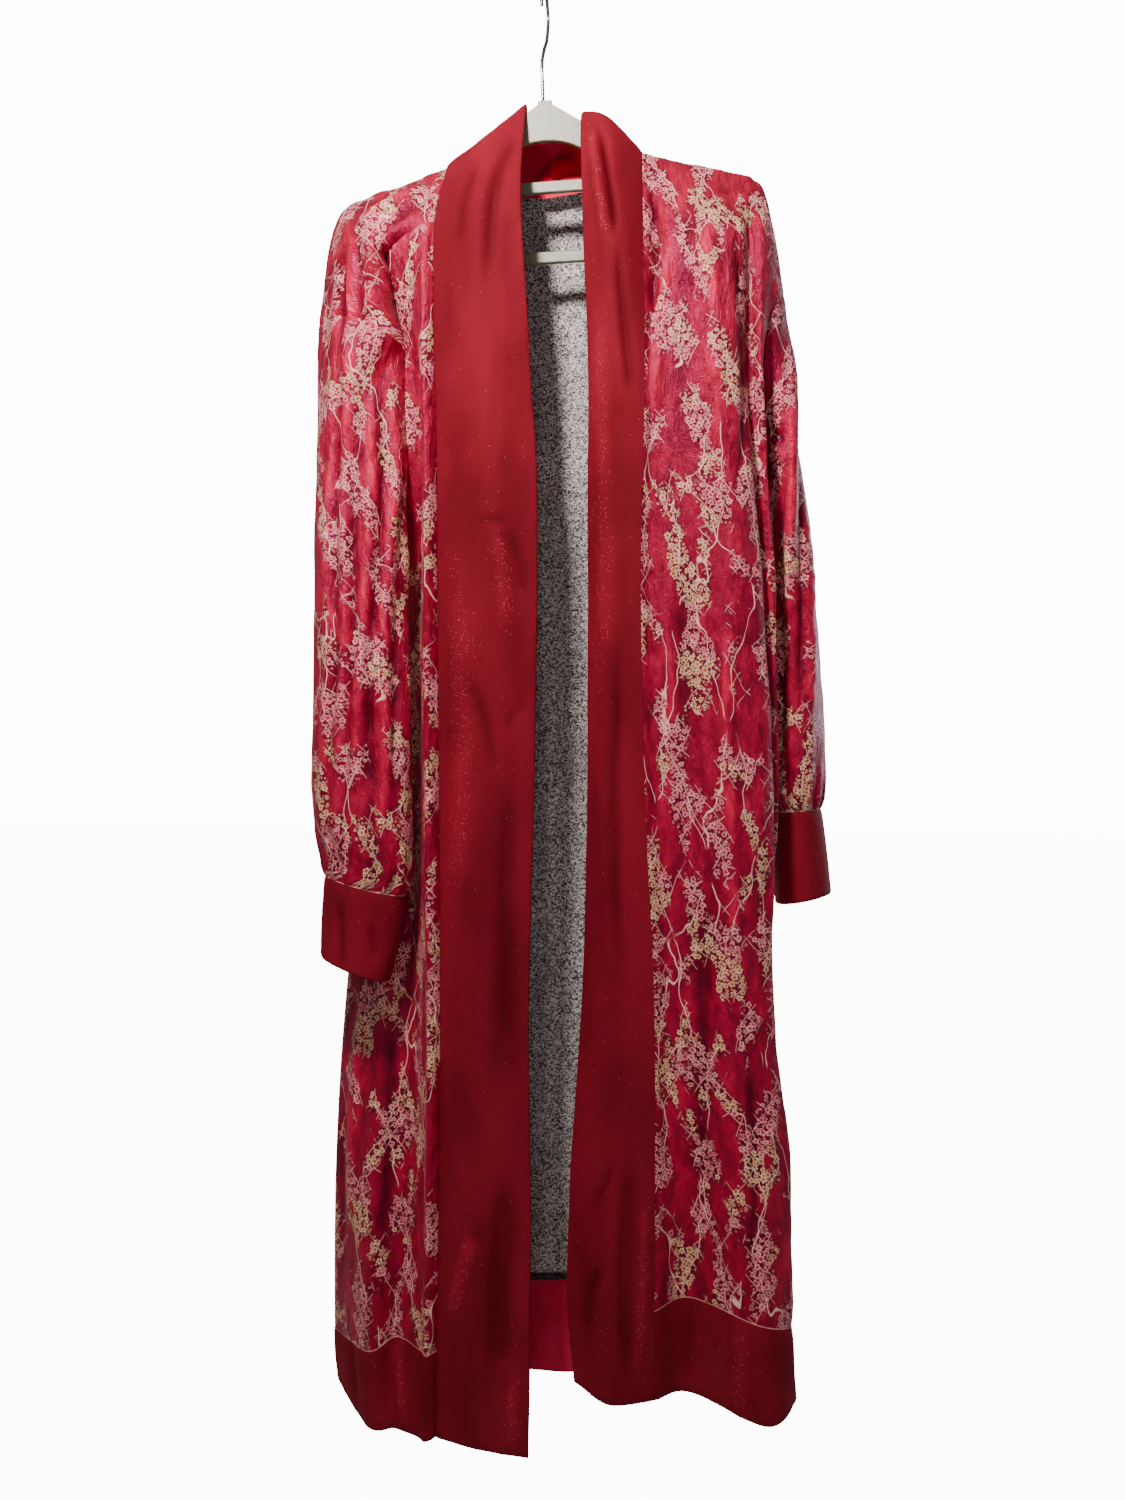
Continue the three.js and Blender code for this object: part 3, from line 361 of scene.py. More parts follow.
def along(points: Array, places: Array) -> Array:
    """Reads a smooth curve through points.

    Args:
        points: One point a row; any further axes are read together.
        places: Where to read, 0 at the first point and 1 more at each next one.

    Returns:
        One row for each place.
    """
    last = len(points) - 1
    clamped = np.clip(np.asarray(places, float), 0, last)
    start = np.minimum(clamped.astype(int), last - 1)
    f = (clamped - start).reshape((-1,) + (1,) * (points.ndim - 1))
    ends = [[2 * points[0] - points[1]], points, [2 * points[-1] - points[-2]]]
    padded = np.concatenate(ends)
    before, a, b, after = (padded[start + k] for k in range(4))
    slope_a = (b - before) / 2
    slope_b = (after - a) / 2
    return (
        (2 * f**3 - 3 * f**2 + 1) * a
        + (f**3 - 2 * f**2 + f) * slope_a
        + (3 * f**2 - 2 * f**3) * b
        + (f**3 - f**2) * slope_b
    )


def evenly(points: Array, fractions: Array) -> Array:
    """Reads a curve by its length.

    Args:
        points: The points the curve goes through.
        fractions: Shares of its length, from 0 to 1.

    Returns:
        One point for each fraction, with the ends kept exactly.
    """
    fine = along(points, np.linspace(0, len(points) - 1, 16 * (len(points) - 1) + 1))
    reach = np.concatenate([[0], np.cumsum(np.linalg.norm(np.diff(fine, axis=0), axis=1))])
    wanted = np.asarray(fractions) * reach[-1]
    result = np.stack([np.interp(wanted, reach, fine[:, k]) for k in range(3)], axis=1)
    result[0], result[-1] = points[0], points[-1]
    return result


def cut(cells: int, fine: int) -> Array:
    """Places across a number of cells, each cut into fine equal parts."""
    return np.arange(cells * fine + 1) / fine


def joined(*runs: Array) -> Array:
    """Sets one run of places after another.

    Args:
        runs: The runs, each counted from 0.

    Returns:
        One run, each part counted on from the end of the last.
    """
    result = runs[0]
    for run in runs[1:]:
        result = np.concatenate([result, result[-1] + run[1:]])
    return result


def in_spans(cells: list[int], places: Array) -> Array:
    """Turns places counted in cells into places counted in table rows or lines."""
    return np.interp(places, np.cumsum([0] + cells), np.arange(len(cells) + 1))


def loft(rows: list[dict], lines: list[str], down: Array, across: Array) -> Array:
    """A grid of points: a curve down each named line, then a curve across each row.

    Args:
        rows: Table rows, from the top down.
        lines: The columns that make the surface, in order.
        down: Places in the rows.
        across: Places in the lines.

    Returns:
        An array of rows by columns by three.
    """
    table = np.array([[row[line] for line in lines] for row in rows], float)
    falls = along(table, down)
    return np.swapaxes(along(np.swapaxes(falls, 0, 1), across), 0, 1)


def shoulder_points(sign: int, y: float) -> Array:
    """The shoulder line out along one arm of the hanger, -1 for the left, at one depth."""
    return np.array([(sign * out, y, z) for out, z in SHOULDER], float)


def mixed(a: Array, b: Array, t: float | Array) -> Array:
    """The point a share t of the way from a to b."""
    return a + (b - a) * t


@dataclass
class RobeCut:
    """The robe's surfaces as grids of points, worked out from its tables, in millimetres.

    Grids that meet share the points of their common edge exactly.
    """

    shoulder_spread: tuple[float, ...] = (0, 0.6, 2.2, 3, 3.7, 4.9, 7)
    yoke_steps: tuple[float, ...] = (0, 0.03, 0.13, 0.34, 0.6, 0.8, 1)
    behind_arm: float = 9
    behind_within: float = 3
    calm_edges: float = 8
    back_y: float = 19
    back_turn: float = 0.045
    seam_lift: float = 28
    back_folds: int = 3
    fold_depth: float = 5
    fold_top_share: float = 0.3
    fold_phase: float = 0.6
    left_armpit: Spot = (-3, -3, -4)
    left_settled: float = -620
    right_armpit: Spot = (4, 0, -4)
    right_settled: float = -610

    def __post_init__(self) -> None:
        """Lays out every grid in the order in which they lean on each other."""
        self.fronts()
        self.back()
        self.flap()
        self.sleeves()

    def fronts(self) -> None:
        """Lofts the two neck bands and the two fronts."""
        neck = cut(sum(NECK_ROWS), NECK_FINE)
        band_across = cut(sum(BAND_CELLS), COLUMN_FINE)
        left_cells = LEFT_SEAM_ROWS + LEFT_ARMHOLE_ROWS + SKIRT_ROWS + HEM_ROWS
        left_down = cut(sum(left_cells), ROW_FINE)
        over = cut(sum(LEFT_SHOULDER_ROWS), ROW_FINE)
        self.neck_end = len(neck) - 1
        self.left_start = self.neck_end + len(over) - 1
        self.band_left = loft(
            NECK_LEFT + LEFT_FRONT,
            BAND_LINES,
            in_spans(NECK_ROWS + LEFT_SHOULDER_ROWS + left_cells, joined(neck, over, left_down)),
            in_spans(BAND_CELLS, band_across),
        )
        self.left_across = cut(sum(LEFT_CELLS), COLUMN_FINE)
        self.left = loft(
            LEFT_FRONT,
            LEFT_LINES,
            in_spans(left_cells, left_down),
            in_spans(LEFT_CELLS, self.left_across),
        )
        self.left[:, 0] = self.band_left[self.left_start :, -1]

        rows = [dict(row) for row in RIGHT_FRONT]
        for row, (y, drop) in zip(rows, OVER_ARM):
            line = along(shoulder_points(1, y), self.shoulder_spread)
            for name, p in list(zip(RIGHT_LINES, line))[1:]:
                row[name] = (p[0], p[1], p[2] - (0 if name == "side" else drop))
        right_cells = RIGHT_ARMHOLE_ROWS + SKIRT_ROWS + HEM_ROWS
        right_down = cut(sum(right_cells), ROW_FINE)
        self.band_right = loft(
            NECK_RIGHT + rows,
            BAND_LINES,
            in_spans(NECK_ROWS + right_cells, joined(neck, right_down)),
            in_spans(BAND_CELLS, band_across),
        )
        self.right_across = cut(sum(RIGHT_CELLS), COLUMN_FINE)
        self.right = loft(
            rows,
            RIGHT_LINES,
            in_spans(right_cells, right_down),
            in_spans(RIGHT_CELLS, self.right_across),
        )
        self.right[:, 0] = self.band_right[self.neck_end :, -1]

    def back(self) -> None:
        """Fills the back from the shoulders and the neck down to the hem."""
        seam_rows = cut(sum(LEFT_SEAM_ROWS), ROW_FINE)
        self.left_places = joined(self.left_across, seam_rows)
        share = self.left_places / self.left_places[-1]
        self.shoulder_left = evenly(shoulder_points(-1, RIDGE_HALF), share)
        neck = self.neck_end + 1
        line_left = self.band_left[:neck, -1]
        line_right = self.band_right[:neck, -1]
        self.shoulder_left[0] = line_left[-1]
        top = np.concatenate(
            [self.shoulder_left[::-1], line_left[-2::-1], line_right[1:], self.right[0, 1:]]
        )
        neck_places = cut(sum(NECK_ROWS), NECK_FINE)
        places = joined(
            self.left_places[-1] - self.left_places[::-1],
            neck_places,
            neck_places,
            self.right_across,
        )
        f = places / places[-1]
        skirt_cells = sum(SKIRT_ROWS) + sum(HEM_ROWS)
        levels = cut(skirt_cells, ROW_FINE)[:, None]
        self.left_underarm = (sum(LEFT_SEAM_ROWS) + sum(LEFT_ARMHOLE_ROWS)) * ROW_FINE
        self.right_underarm = sum(RIGHT_ARMHOLE_ROWS) * ROW_FINE
        a = self.left[self.left_underarm :, -1][:, None]
        b = self.right[self.right_underarm :, -1][:, None]
        skirt = mixed(a, b, f[None, :, None])
        middle = np.sin(np.pi * f)
        waves = np.sin(2 * np.pi * self.back_folds * f + self.fold_phase) * middle
        deeper = mixed(self.fold_top_share, 1, levels / skirt_cells)
        skirt[..., 1] = self.back_y + self.fold_depth * deeper * waves
        skirt[..., 1] += (a[..., 1] - self.back_y) * np.exp(-f / self.back_turn)
        skirt[..., 1] += (b[..., 1] - self.back_y) * np.exp((f - 1) / self.back_turn)
        at_seam = np.clip(1 - abs(levels - sum(SKIRT_ROWS)), 0, 1)
        skirt[..., 2] += self.seam_lift * middle * at_seam
        skirt[:, 0] = a[:, 0]
        skirt[:, -1] = b[:, 0]

        yoke_places = cut(len(self.yoke_steps) - 1, ROW_FINE)
        reach = yoke_places / yoke_places[-1]
        t = np.interp(yoke_places, range(len(self.yoke_steps)), self.yoke_steps)[:, None]
        self.armhole_left = evenly(np.array(BACK_ARMHOLE_LEFT, float), reach)
        self.armhole_right = evenly(np.array(BACK_ARMHOLE_RIGHT, float), reach)
        self.armhole_left[0], self.armhole_left[-1] = top[0], skirt[0, 0]
        self.armhole_right[0], self.armhole_right[-1] = top[-1], skirt[0, -1]
        yoke = mixed(top[None], skirt[0][None], t[..., None])
        fallen = top[None, :, 2] - yoke[..., 2]
        inside = np.minimum(1, np.minimum(self.calm_edges * f, self.calm_edges * (1 - f)))
        behind = 1 - np.exp(-fallen / self.behind_within)
        yoke[..., 1] += self.behind_arm * behind * (1 - t) * inside
        for edge, near in ((self.armhole_left, 1 - f), (self.armhole_right, f)):
            chord = mixed(edge[0], edge[-1], t)
            yoke += (edge - chord)[:, None] * (near[None, :, None] ** 3)
        yoke[0], yoke[-1] = top, skirt[0]
        self.back_grid = np.concatenate([yoke, skirt[1:]])

    def flap(self) -> None:
        """Wraps the back over the left shoulder, down to its seam on the front."""
        rows = sum(LEFT_SEAM_ROWS) * ROW_FINE
        bottom = np.concatenate([self.left[0], self.left[1 : rows + 1, -1]])
        cells = LEFT_SHOULDER_ROWS[1]
        inner = self.band_left[self.left_start - cells * ROW_FINE : self.left_start + 1, -1]
        steps = cut(cells, ROW_FINE) / cells
        outer = evenly(np.array(FLAP_ARMHOLE, float)[::-1], steps)
        share = self.left_places / self.left_places[-1]
        fore = evenly(shoulder_points(-1, -RIDGE_HALF), share)
        fore[0] = inner[0]
        outer[0], outer[-1] = fore[-1], bottom[-1]
        t, f = steps[:, None, None], share[None, :, None]
        filled = mixed(fore[None], bottom[None], t) + mixed(inner[:, None], outer[:, None], f)
        filled -= mixed(mixed(fore[0], fore[-1], f), mixed(bottom[0], bottom[-1], f), t)
        filled[0], filled[-1], filled[:, 0], filled[:, -1] = fore, bottom, inner, outer
        ridge = cut(1, RIDGE_FINE)[:-1, None, None]
        across = mixed(self.shoulder_left[None], fore[None], ridge)
        # The band's own rows over the arm give the inner edge of the strip on the arm
        over = self.band_left[self.neck_end : self.neck_end + ROW_FINE + 1, -1]
        picks = np.linspace(0, len(over) - 1, RIDGE_FINE + 1).round().astype(int)
        across[:, 0] = over[picks[:-1]]
        self.flap_outer = outer
        self.ridge_outer = across[1:, -1]
        self.flap_grid = np.concatenate([across, filled])

    def sleeves(self) -> None:
        """Hangs both sleeves and their cuffs from the armholes."""
        seam = sum(LEFT_SEAM_ROWS) * ROW_FINE
        flap_cells = LEFT_SHOULDER_ROWS[1]
        arm_cells = sum(LEFT_ARMHOLE_ROWS)
        yoke_cells = len(self.yoke_steps) - 1
        edge = np.concatenate(
            [
                self.flap_outer[:-1],
                self.left[seam : self.left_underarm, -1],
                self.armhole_left[::-1],
                self.ridge_outer,
            ]
        )
        runs = [cut(cells, ROW_FINE) for cells in (flap_cells, arm_cells, yoke_cells)]
        places = joined(*runs, cut(1, RIDGE_FINE))[:-1]
        cells = flap_cells + arm_cells + yoke_cells + 1
        sleeve = Sleeve(edge, places, cells, self.left_armpit, LEFT_SLEEVE, self.left_settled)
        self.sleeve_left = sleeve.grid()
        self.cuff_left = sleeve.cuff(LEFT_CUFF)

        arm_cells = sum(RIGHT_ARMHOLE_ROWS)
        edge = np.concatenate([self.right[: self.right_underarm, -1], self.armhole_right[:0:-1]])
        places = joined(cut(arm_cells, ROW_FINE), cut(yoke_cells, ROW_FINE))[:-1]
        cells = arm_cells + yoke_cells
        sleeve = Sleeve(edge, places, cells, self.right_armpit, RIGHT_SLEEVE, self.right_settled)
        self.sleeve_right = sleeve.grid()
        self.cuff_right = sleeve.cuff(RIGHT_CUFF)


def oval_points(table: list[dict], z: Array, angle: Array, swell: Array | float = 0) -> Array:
    """Points on a tube whose section is an oval that changes with height.

    Args:
        table: The ovals, from the top down.
        z: Height of each point before the oval's side tilt.
        angle: Where each point is round the oval.
        swell: How far it stands out past the oval.

    Returns:
        The points, with z's shape and three coordinates.
    """
    heights = [-oval["z"] for oval in table]
    read = {name: np.interp(-z, heights, [oval[name] for oval in table]) for name in table[0]}
    out = (read["wide"] + swell) * np.cos(angle)
    across = (read["deep"] + swell) * np.sin(angle)
    x = out * np.cos(read["turn"]) - across * np.sin(read["turn"])
    y = out * np.sin(read["turn"]) + across * np.cos(read["turn"])
    return np.stack([read["x"] + x, read["y"] + y, z - read["tilt"] * x], axis=-1)


@dataclass
class Sleeve:
    """A sleeve that hangs from its armhole, with gathers above its cuff, in millimetres."""

    edge: Array
    places: Array
    cells: int
    armpit: Spot
    ovals: list[dict]
    settled: float
    steps: tuple[float, ...] = (0, 0.12, 0.28, 0.5, 0.75, 1)
    cap_swing: int = 5
    plain_cells: int = 3
    gather_cells: int = 4
    gather_height: float = 55
    gather_depth: float = 1.9
    gather_at_seam: float = 0.7

    def __post_init__(self) -> None:
        """Closes the armhole's ring, moves its lowest point clear and finds its angles."""
        ring = self.edge.copy()
        lowest = self.places[np.argmin(ring[:, 2])]
        away = abs(self.places - lowest)
        near = np.clip(1 - np.minimum(away, self.cells - away), 0, 1)
        ring += near[:, None] * np.array(self.armpit, float)
        self.ring = np.concatenate([ring, ring[:1]])
        places = np.append(self.places, self.cells)
        halves = np.arange(2 * self.cells) / 2
        coarse = np.stack([np.interp(halves, places, self.ring[:, k]) for k in range(3)], axis=1)
        middle = coarse.mean(axis=0)
        first = math.atan2(ring[0, 1] - middle[1], ring[0, 0] - middle[0])
        second = math.atan2(coarse[2, 1] - middle[1], coarse[2, 0] - middle[0])
        turn = math.copysign(2 * math.pi, math.sin(second - first))
        steps = np.linalg.norm(np.diff(self.ring, axis=0), axis=1)
        reach = np.concatenate([[0], np.cumsum(steps)])
        self.first = first
        self.by_length = first + turn * reach / reach[-1]
        self.even = first + turn * places / self.cells

    def upper(self) -> Array:
        """Leads the armhole's ring over into plain ovals.

        Returns:
            The rows from the armhole down to where the sleeve has settled.
        """
        places = cut(len(self.steps) - 1, ROW_FINE)
        t = np.interp(places, range(len(self.steps)), self.steps)[:, None]
        grown = 1 - (1 - t) ** self.cap_swing
        z = mixed(self.ring[None, :, 2], self.settled, t)
        rows = oval_points(self.ovals, z, mixed(self.by_length, self.even, t))
        for axis in (0, 1):
            rows[..., axis] = mixed(self.ring[None, :, axis], rows[..., axis], grown)
        rows[0] = self.ring
        return rows

    def gathers(self, top: float, seam: float) -> Array:
        """Puckers the cloth above the cuff.

        Args:
            top: The height where the gathers start.
            seam: The height of the cuff's seam.

        Returns:
            The rows between them, the last a plain oval.
        """
        t = cut(self.gather_cells, ROW_FINE)[1:, None] / self.gather_cells
        depth = np.interp(t, [0, 0.8, 1], [0, self.gather_depth, self.gather_at_seam])
        around = self.even[None] - self.first
        lean = 0.5 * np.sin(2 * around + 0.8)
        puckers = 0.35 * np.cos(2 * self.cells * around + 1.1)
        wave = np.cos(self.cells * around + lean) + puckers
        z = mixed(top, seam, t) + 0 * around
        rows = oval_points(self.ovals, z, self.even + 0 * t, depth * wave)
        rows[-1] = oval_points(self.ovals, seam + 0 * self.even, self.even)
        return rows

    def grid(self) -> Array:
        """Makes the whole sleeve.

        Returns:
            The grid, whose last column repeats its first.
        """
        seam = self.ovals[-1]["z"]
        top = seam + self.gather_height
        share = cut(self.plain_cells, ROW_FINE)[1:, None] / self.plain_cells
        z = mixed(self.settled, top, share)
        angles = self.even[None].repeat(len(z), 0)
        plain = oval_points(self.ovals, z + 0 * angles, angles)
        grid = np.concatenate([self.upper(), plain, self.gathers(top, seam)])
        grid[:, -1] = grid[:, 0]
        return grid

    def cuff(self, ovals: list[dict]) -> Array:
        """Makes the cuff below the sleeve's last ring.

        Args:
            ovals: The cuff's ovals, from the top down.

        Returns:
            The grid, whose last column repeats its first.
        """
        table = np.array([[oval[name] for name in OVAL] for oval in ovals], float)
        finer = rows_of(OVAL, along(table, cut(len(ovals) - 1, ROW_FINE)))
        angles = self.even
        grid = np.stack([oval_points(finer, oval["z"] + 0 * angles, angles) for oval in finer])
        grid[:, -1] = grid[:, 0]
        return grid


@dataclass
class Piece:
    """One piece of cloth: its grids, its wall, its cut size in metres and its two sides."""

    name: str
    grids: list[Array]
    wall: float
    slot: str
    flat: tuple[float, float]
    area: float
    held: str = "hung"
    outside: bpy.types.Material | None = None
    inside: bpy.types.Material | None = None
    points: Array = field(default_factory=lambda: np.zeros(0, int))
    faces: Array = field(default_factory=lambda: np.zeros((0, 4), int))
    cloth: Array = field(default_factory=lambda: np.zeros((0, 4, 2)))
    grids_apart: float = 37

    @property
    def printed(self) -> bool:
        """Whether the piece is of the printed velvet."""
        return self.slot == "printed_velvet"

    def quads(self, ids: list[Array]) -> None:
        """Makes the piece's faces from the shared number of each grid point.

        Args:
            ids: For each grid, the number of every point.
        """
        faces, cloth = [], []
        start = 0.0
        for grid, number in zip(self.grids, ids):
            uv = flat_cloth(grid)
            uv[..., 0] += start - uv[..., 0].min()
            start = float(uv[..., 0].max()) + self.grids_apart
            uv *= MM
            rows, columns = grid.shape[0] - 1, grid.shape[1] - 1
            corners = [(0, 0), (0, 1), (1, 1), (1, 0)]
            pick = [(slice(j, rows + j), slice(i, columns + i)) for j, i in corners]
            faces.append(np.stack([number[p] for p in pick], axis=-1).reshape(-1, 4))
            cloth.append(np.stack([uv[p] for p in pick], axis=-2).reshape(-1, 4, 2))
        self.faces = np.concatenate(faces)
        self.cloth = np.concatenate(cloth)
        self.points = np.unique(self.faces)


@dataclass
class Cloth:
    """All the cloth as one set of shared points, so that seams stay closed as it is creased.

    Lengths are in millimetres. The rumples are noise that is stretched upright.
    """

    pieces: list[Piece]
    points_per_mm: float = 50
    tube_level: float = 20
    body_axis: tuple[float, float] = (10, -20)
    seam_dip: float = 0.9
    seam_dip_width: float = 3.0
    fold_relief: float = 2.2
    fold_sharpness: float = 0.85
    fold_fade: float = 0.22
    fold_least: float = 0.12
    path_steps: int = 60
    print_rumple: float = 1.9
    plain_rumple: float = 0.9
    calm_by_seam: float = 14
    broad_rumple: Spot = (17, 17, 70)
    fine_rumple: Spot = (8, 8, 22)
    fine_start: Spot = (9, 4, 2)
    fine_share: float = 0.35

    def __post_init__(self) -> None:
        """Joins the pieces' grids where their points meet."""
        flat = np.concatenate([grid.reshape(-1, 3) for p in self.pieces for grid in p.grids])
        keys = np.round(flat * self.points_per_mm).astype(np.int64)
        _, first, number = np.unique(keys, axis=0, return_index=True, return_inverse=True)
        number = number.reshape(-1)
        self.points = flat[first]
        self.owners = np.zeros(len(self.points), int)
        start = 0
        for piece in self.pieces:
            ids = []
            for grid in piece.grids:
                count = grid.shape[0] * grid.shape[1]
                ids.append(number[start : start + count].reshape(grid.shape[:2]))
                start += count
            piece.quads(ids)
            self.owners[piece.points] += 1
        self.turn_outward()
        self.normals = self.shared_normals()

    def turn_outward(self) -> None:
        """Turns each piece's faces so that they look away from the body or the arm."""
        for piece in self.pieces:
            corners = self.points[piece.faces]
            middles = corners.mean(axis=1)
            centre = middles.copy()
            if piece.name.startswith(("sleeve", "cuff")):
                heights = np.round(middles[:, 2] / self.tube_level)
                for level in np.unique(heights):
                    same = heights == level
                    centre[same] = middles[same].mean(axis=0)
            else:
                centre[:, :2] = self.body_axis
            if (face_normals(corners) * (middles - centre)).sum() < 0:
                piece.faces = piece.faces[:, ::-1]
                piece.cloth = piece.cloth[:, ::-1]

    def shared_normals(self) -> Array:
        """Finds one outward direction for each point.

        Returns:
            The mean direction of the faces that meet at each point.
        """
        total = np.zeros_like(self.points)
        for piece in self.pieces:
            looks = face_normals(self.points[piece.faces])
            for corner in range(4):
                np.add.at(total, piece.faces[:, corner], looks)
        return total / np.maximum(np.linalg.norm(total, axis=1, keepdims=True), 1e-9)

    def crease(self) -> None:
        """Presses the seams in, raises the listed folds and rumples the cloth."""
        self.to_seam = self.distance_to(self.owners > 1)
        self.to_trim = self.distance_to(self.trim())
        dips = -self.seam_dip * np.exp(-((self.to_seam / self.seam_dip_width) ** 2))
        self.relief = self.fold_relief * self.folded() + self.rumpled()
        self.points = self.points + self.normals * (dips + self.relief)[:, None]
        self.normals = self.shared_normals()

    def distance_to(self, chosen: Array) -> Array:
        """Measures how far each point is from the nearest of some points.

        Args:
            chosen: Which points to measure to.

        Returns:
            The distance of every point.
        """
        ids = np.flatnonzero(chosen)
        tree = kdtree.KDTree(len(ids))
        for n, i in enumerate(ids):
            tree.insert(Vector(self.points[i]), n)
        tree.balance()
        return np.array([tree.find(Vector(p))[2] for p in self.points])

    def trim(self) -> Array:
        """Finds the seams where hem bands and cuffs are sewn to printed cloth.

        Returns:
            Whether each point lies on one.
        """
        printed, banded = np.zeros((2, len(self.points)), bool)
        for piece in self.pieces:
            if piece.printed:
                printed[piece.points] = True
            elif not piece.name.startswith("neck"):
                banded[piece.points] = True
        return printed & banded

    def folded(self) -> Array:
        """Adds up the listed folds.

        Returns:
            Their height at each point.
        """
        height = np.zeros(len(self.points))
        members = {piece.name: piece.points for piece in self.pieces}
        for fold in FOLDS:
            ids = np.unique(np.concatenate([members[name] for name in fold.pieces]))
            places = np.linspace(0, len(fold.path) - 1, self.path_steps)
            path = along(np.array(fold.path, float), places)
            flat = self.points[ids][:, [0, 2]]
            lo, hi = path.min(axis=0) - 4 * fold.width, path.max(axis=0) + 4 * fold.width
            near = ((flat > lo) & (flat < hi)).all(axis=1)
            ids, flat = ids[near], flat[near]
            if not len(ids):
                continue
            away = np.linalg.norm(flat[:, None] - path[None], axis=2)
            share = away.argmin(axis=1) / (len(path) - 1)
            ends = np.clip(np.minimum(share, 1 - share) / self.fold_fade, 0, 1)
            ends = self.fold_least + (1 - self.fold_least) * ends * ends * (3 - 2 * ends)
            looks = self.normals[ids, 1] * fold.side.value
            shown = 1.0 if fold.side is Side.BOTH else np.clip((looks + 0.1) / 0.45, 0, 1)
            width = self.fold_sharpness * fold.width
            profile = np.exp(-((away.min(axis=1) / width) ** 2))
            height[ids] += fold.height * profile * ends * shown
        return height

    def rumpled(self) -> Array:
        """Rumples the cloth unevenly, deeper on the thin printed cloth than on the bands.

        Returns:
            The rumples' height at each point.
        """
        depth = np.zeros(len(self.points))
        for piece in self.pieces:
            own = self.print_rumple if piece.printed else self.plain_rumple
            depth[piece.points] = np.maximum(depth[piece.points], own)
        calm = 1 - np.exp(-((self.to_seam / self.calm_by_seam) ** 2))
        start = Vector(self.fine_start)
        broad_scale = 1 / np.array(self.broad_rumple)
        fine_scale = 1 / np.array(self.fine_rumple)
        broad = np.array([noise.noise(Vector(p)) for p in self.points * broad_scale])
        fine = np.array([noise.noise(Vector(p) + start) for p in self.points * fine_scale])
        return depth * calm * (broad + self.fine_share * fine)


def flat_cloth(grid: Array) -> Array:
    """Lays a grid of hanging cloth flat, without leaning the print over.

    Args:
        grid: The grid's points, in millimetres.

    Returns:
        For every point, how far across and up it lies on the flat cloth, in millimetres.
    """
    middle = grid.shape[1] // 2
    spine = grid[:, middle]
    level = np.hypot(*np.moveaxis(np.diff(grid, axis=1)[..., :2], -1, 0))
    across = np.concatenate([np.zeros((len(grid), 1)), np.cumsum(level, axis=1)], axis=1)
    across -= across[:, [middle]]
    ahead = (grid[:, middle + 1] - spine)[:-1, :2]
    ahead = ahead / np.maximum(np.linalg.norm(ahead, axis=1, keepdims=True), 1e-6)
    step = np.diff(spine, axis=0)
    aside = (step[:, :2] * ahead).sum(axis=1)
    down = np.sqrt(np.maximum((step**2).sum(axis=1) - aside**2, 0))
    across += np.concatenate([[0], np.cumsum(aside)])[:, None]
    drop = np.concatenate([[0], np.cumsum(down)])[:, None]
    return np.stack([across, grid[..., 2] - spine[:, [2]] - drop], axis=-1)


def face_normals(corners: Array) -> Array:
    """Unit directions that four-sided faces look in."""
    looks = np.cross(corners[:, 2] - corners[:, 0], corners[:, 3] - corners[:, 1])
    return looks / np.maximum(np.linalg.norm(looks, axis=1, keepdims=True), 1e-9)


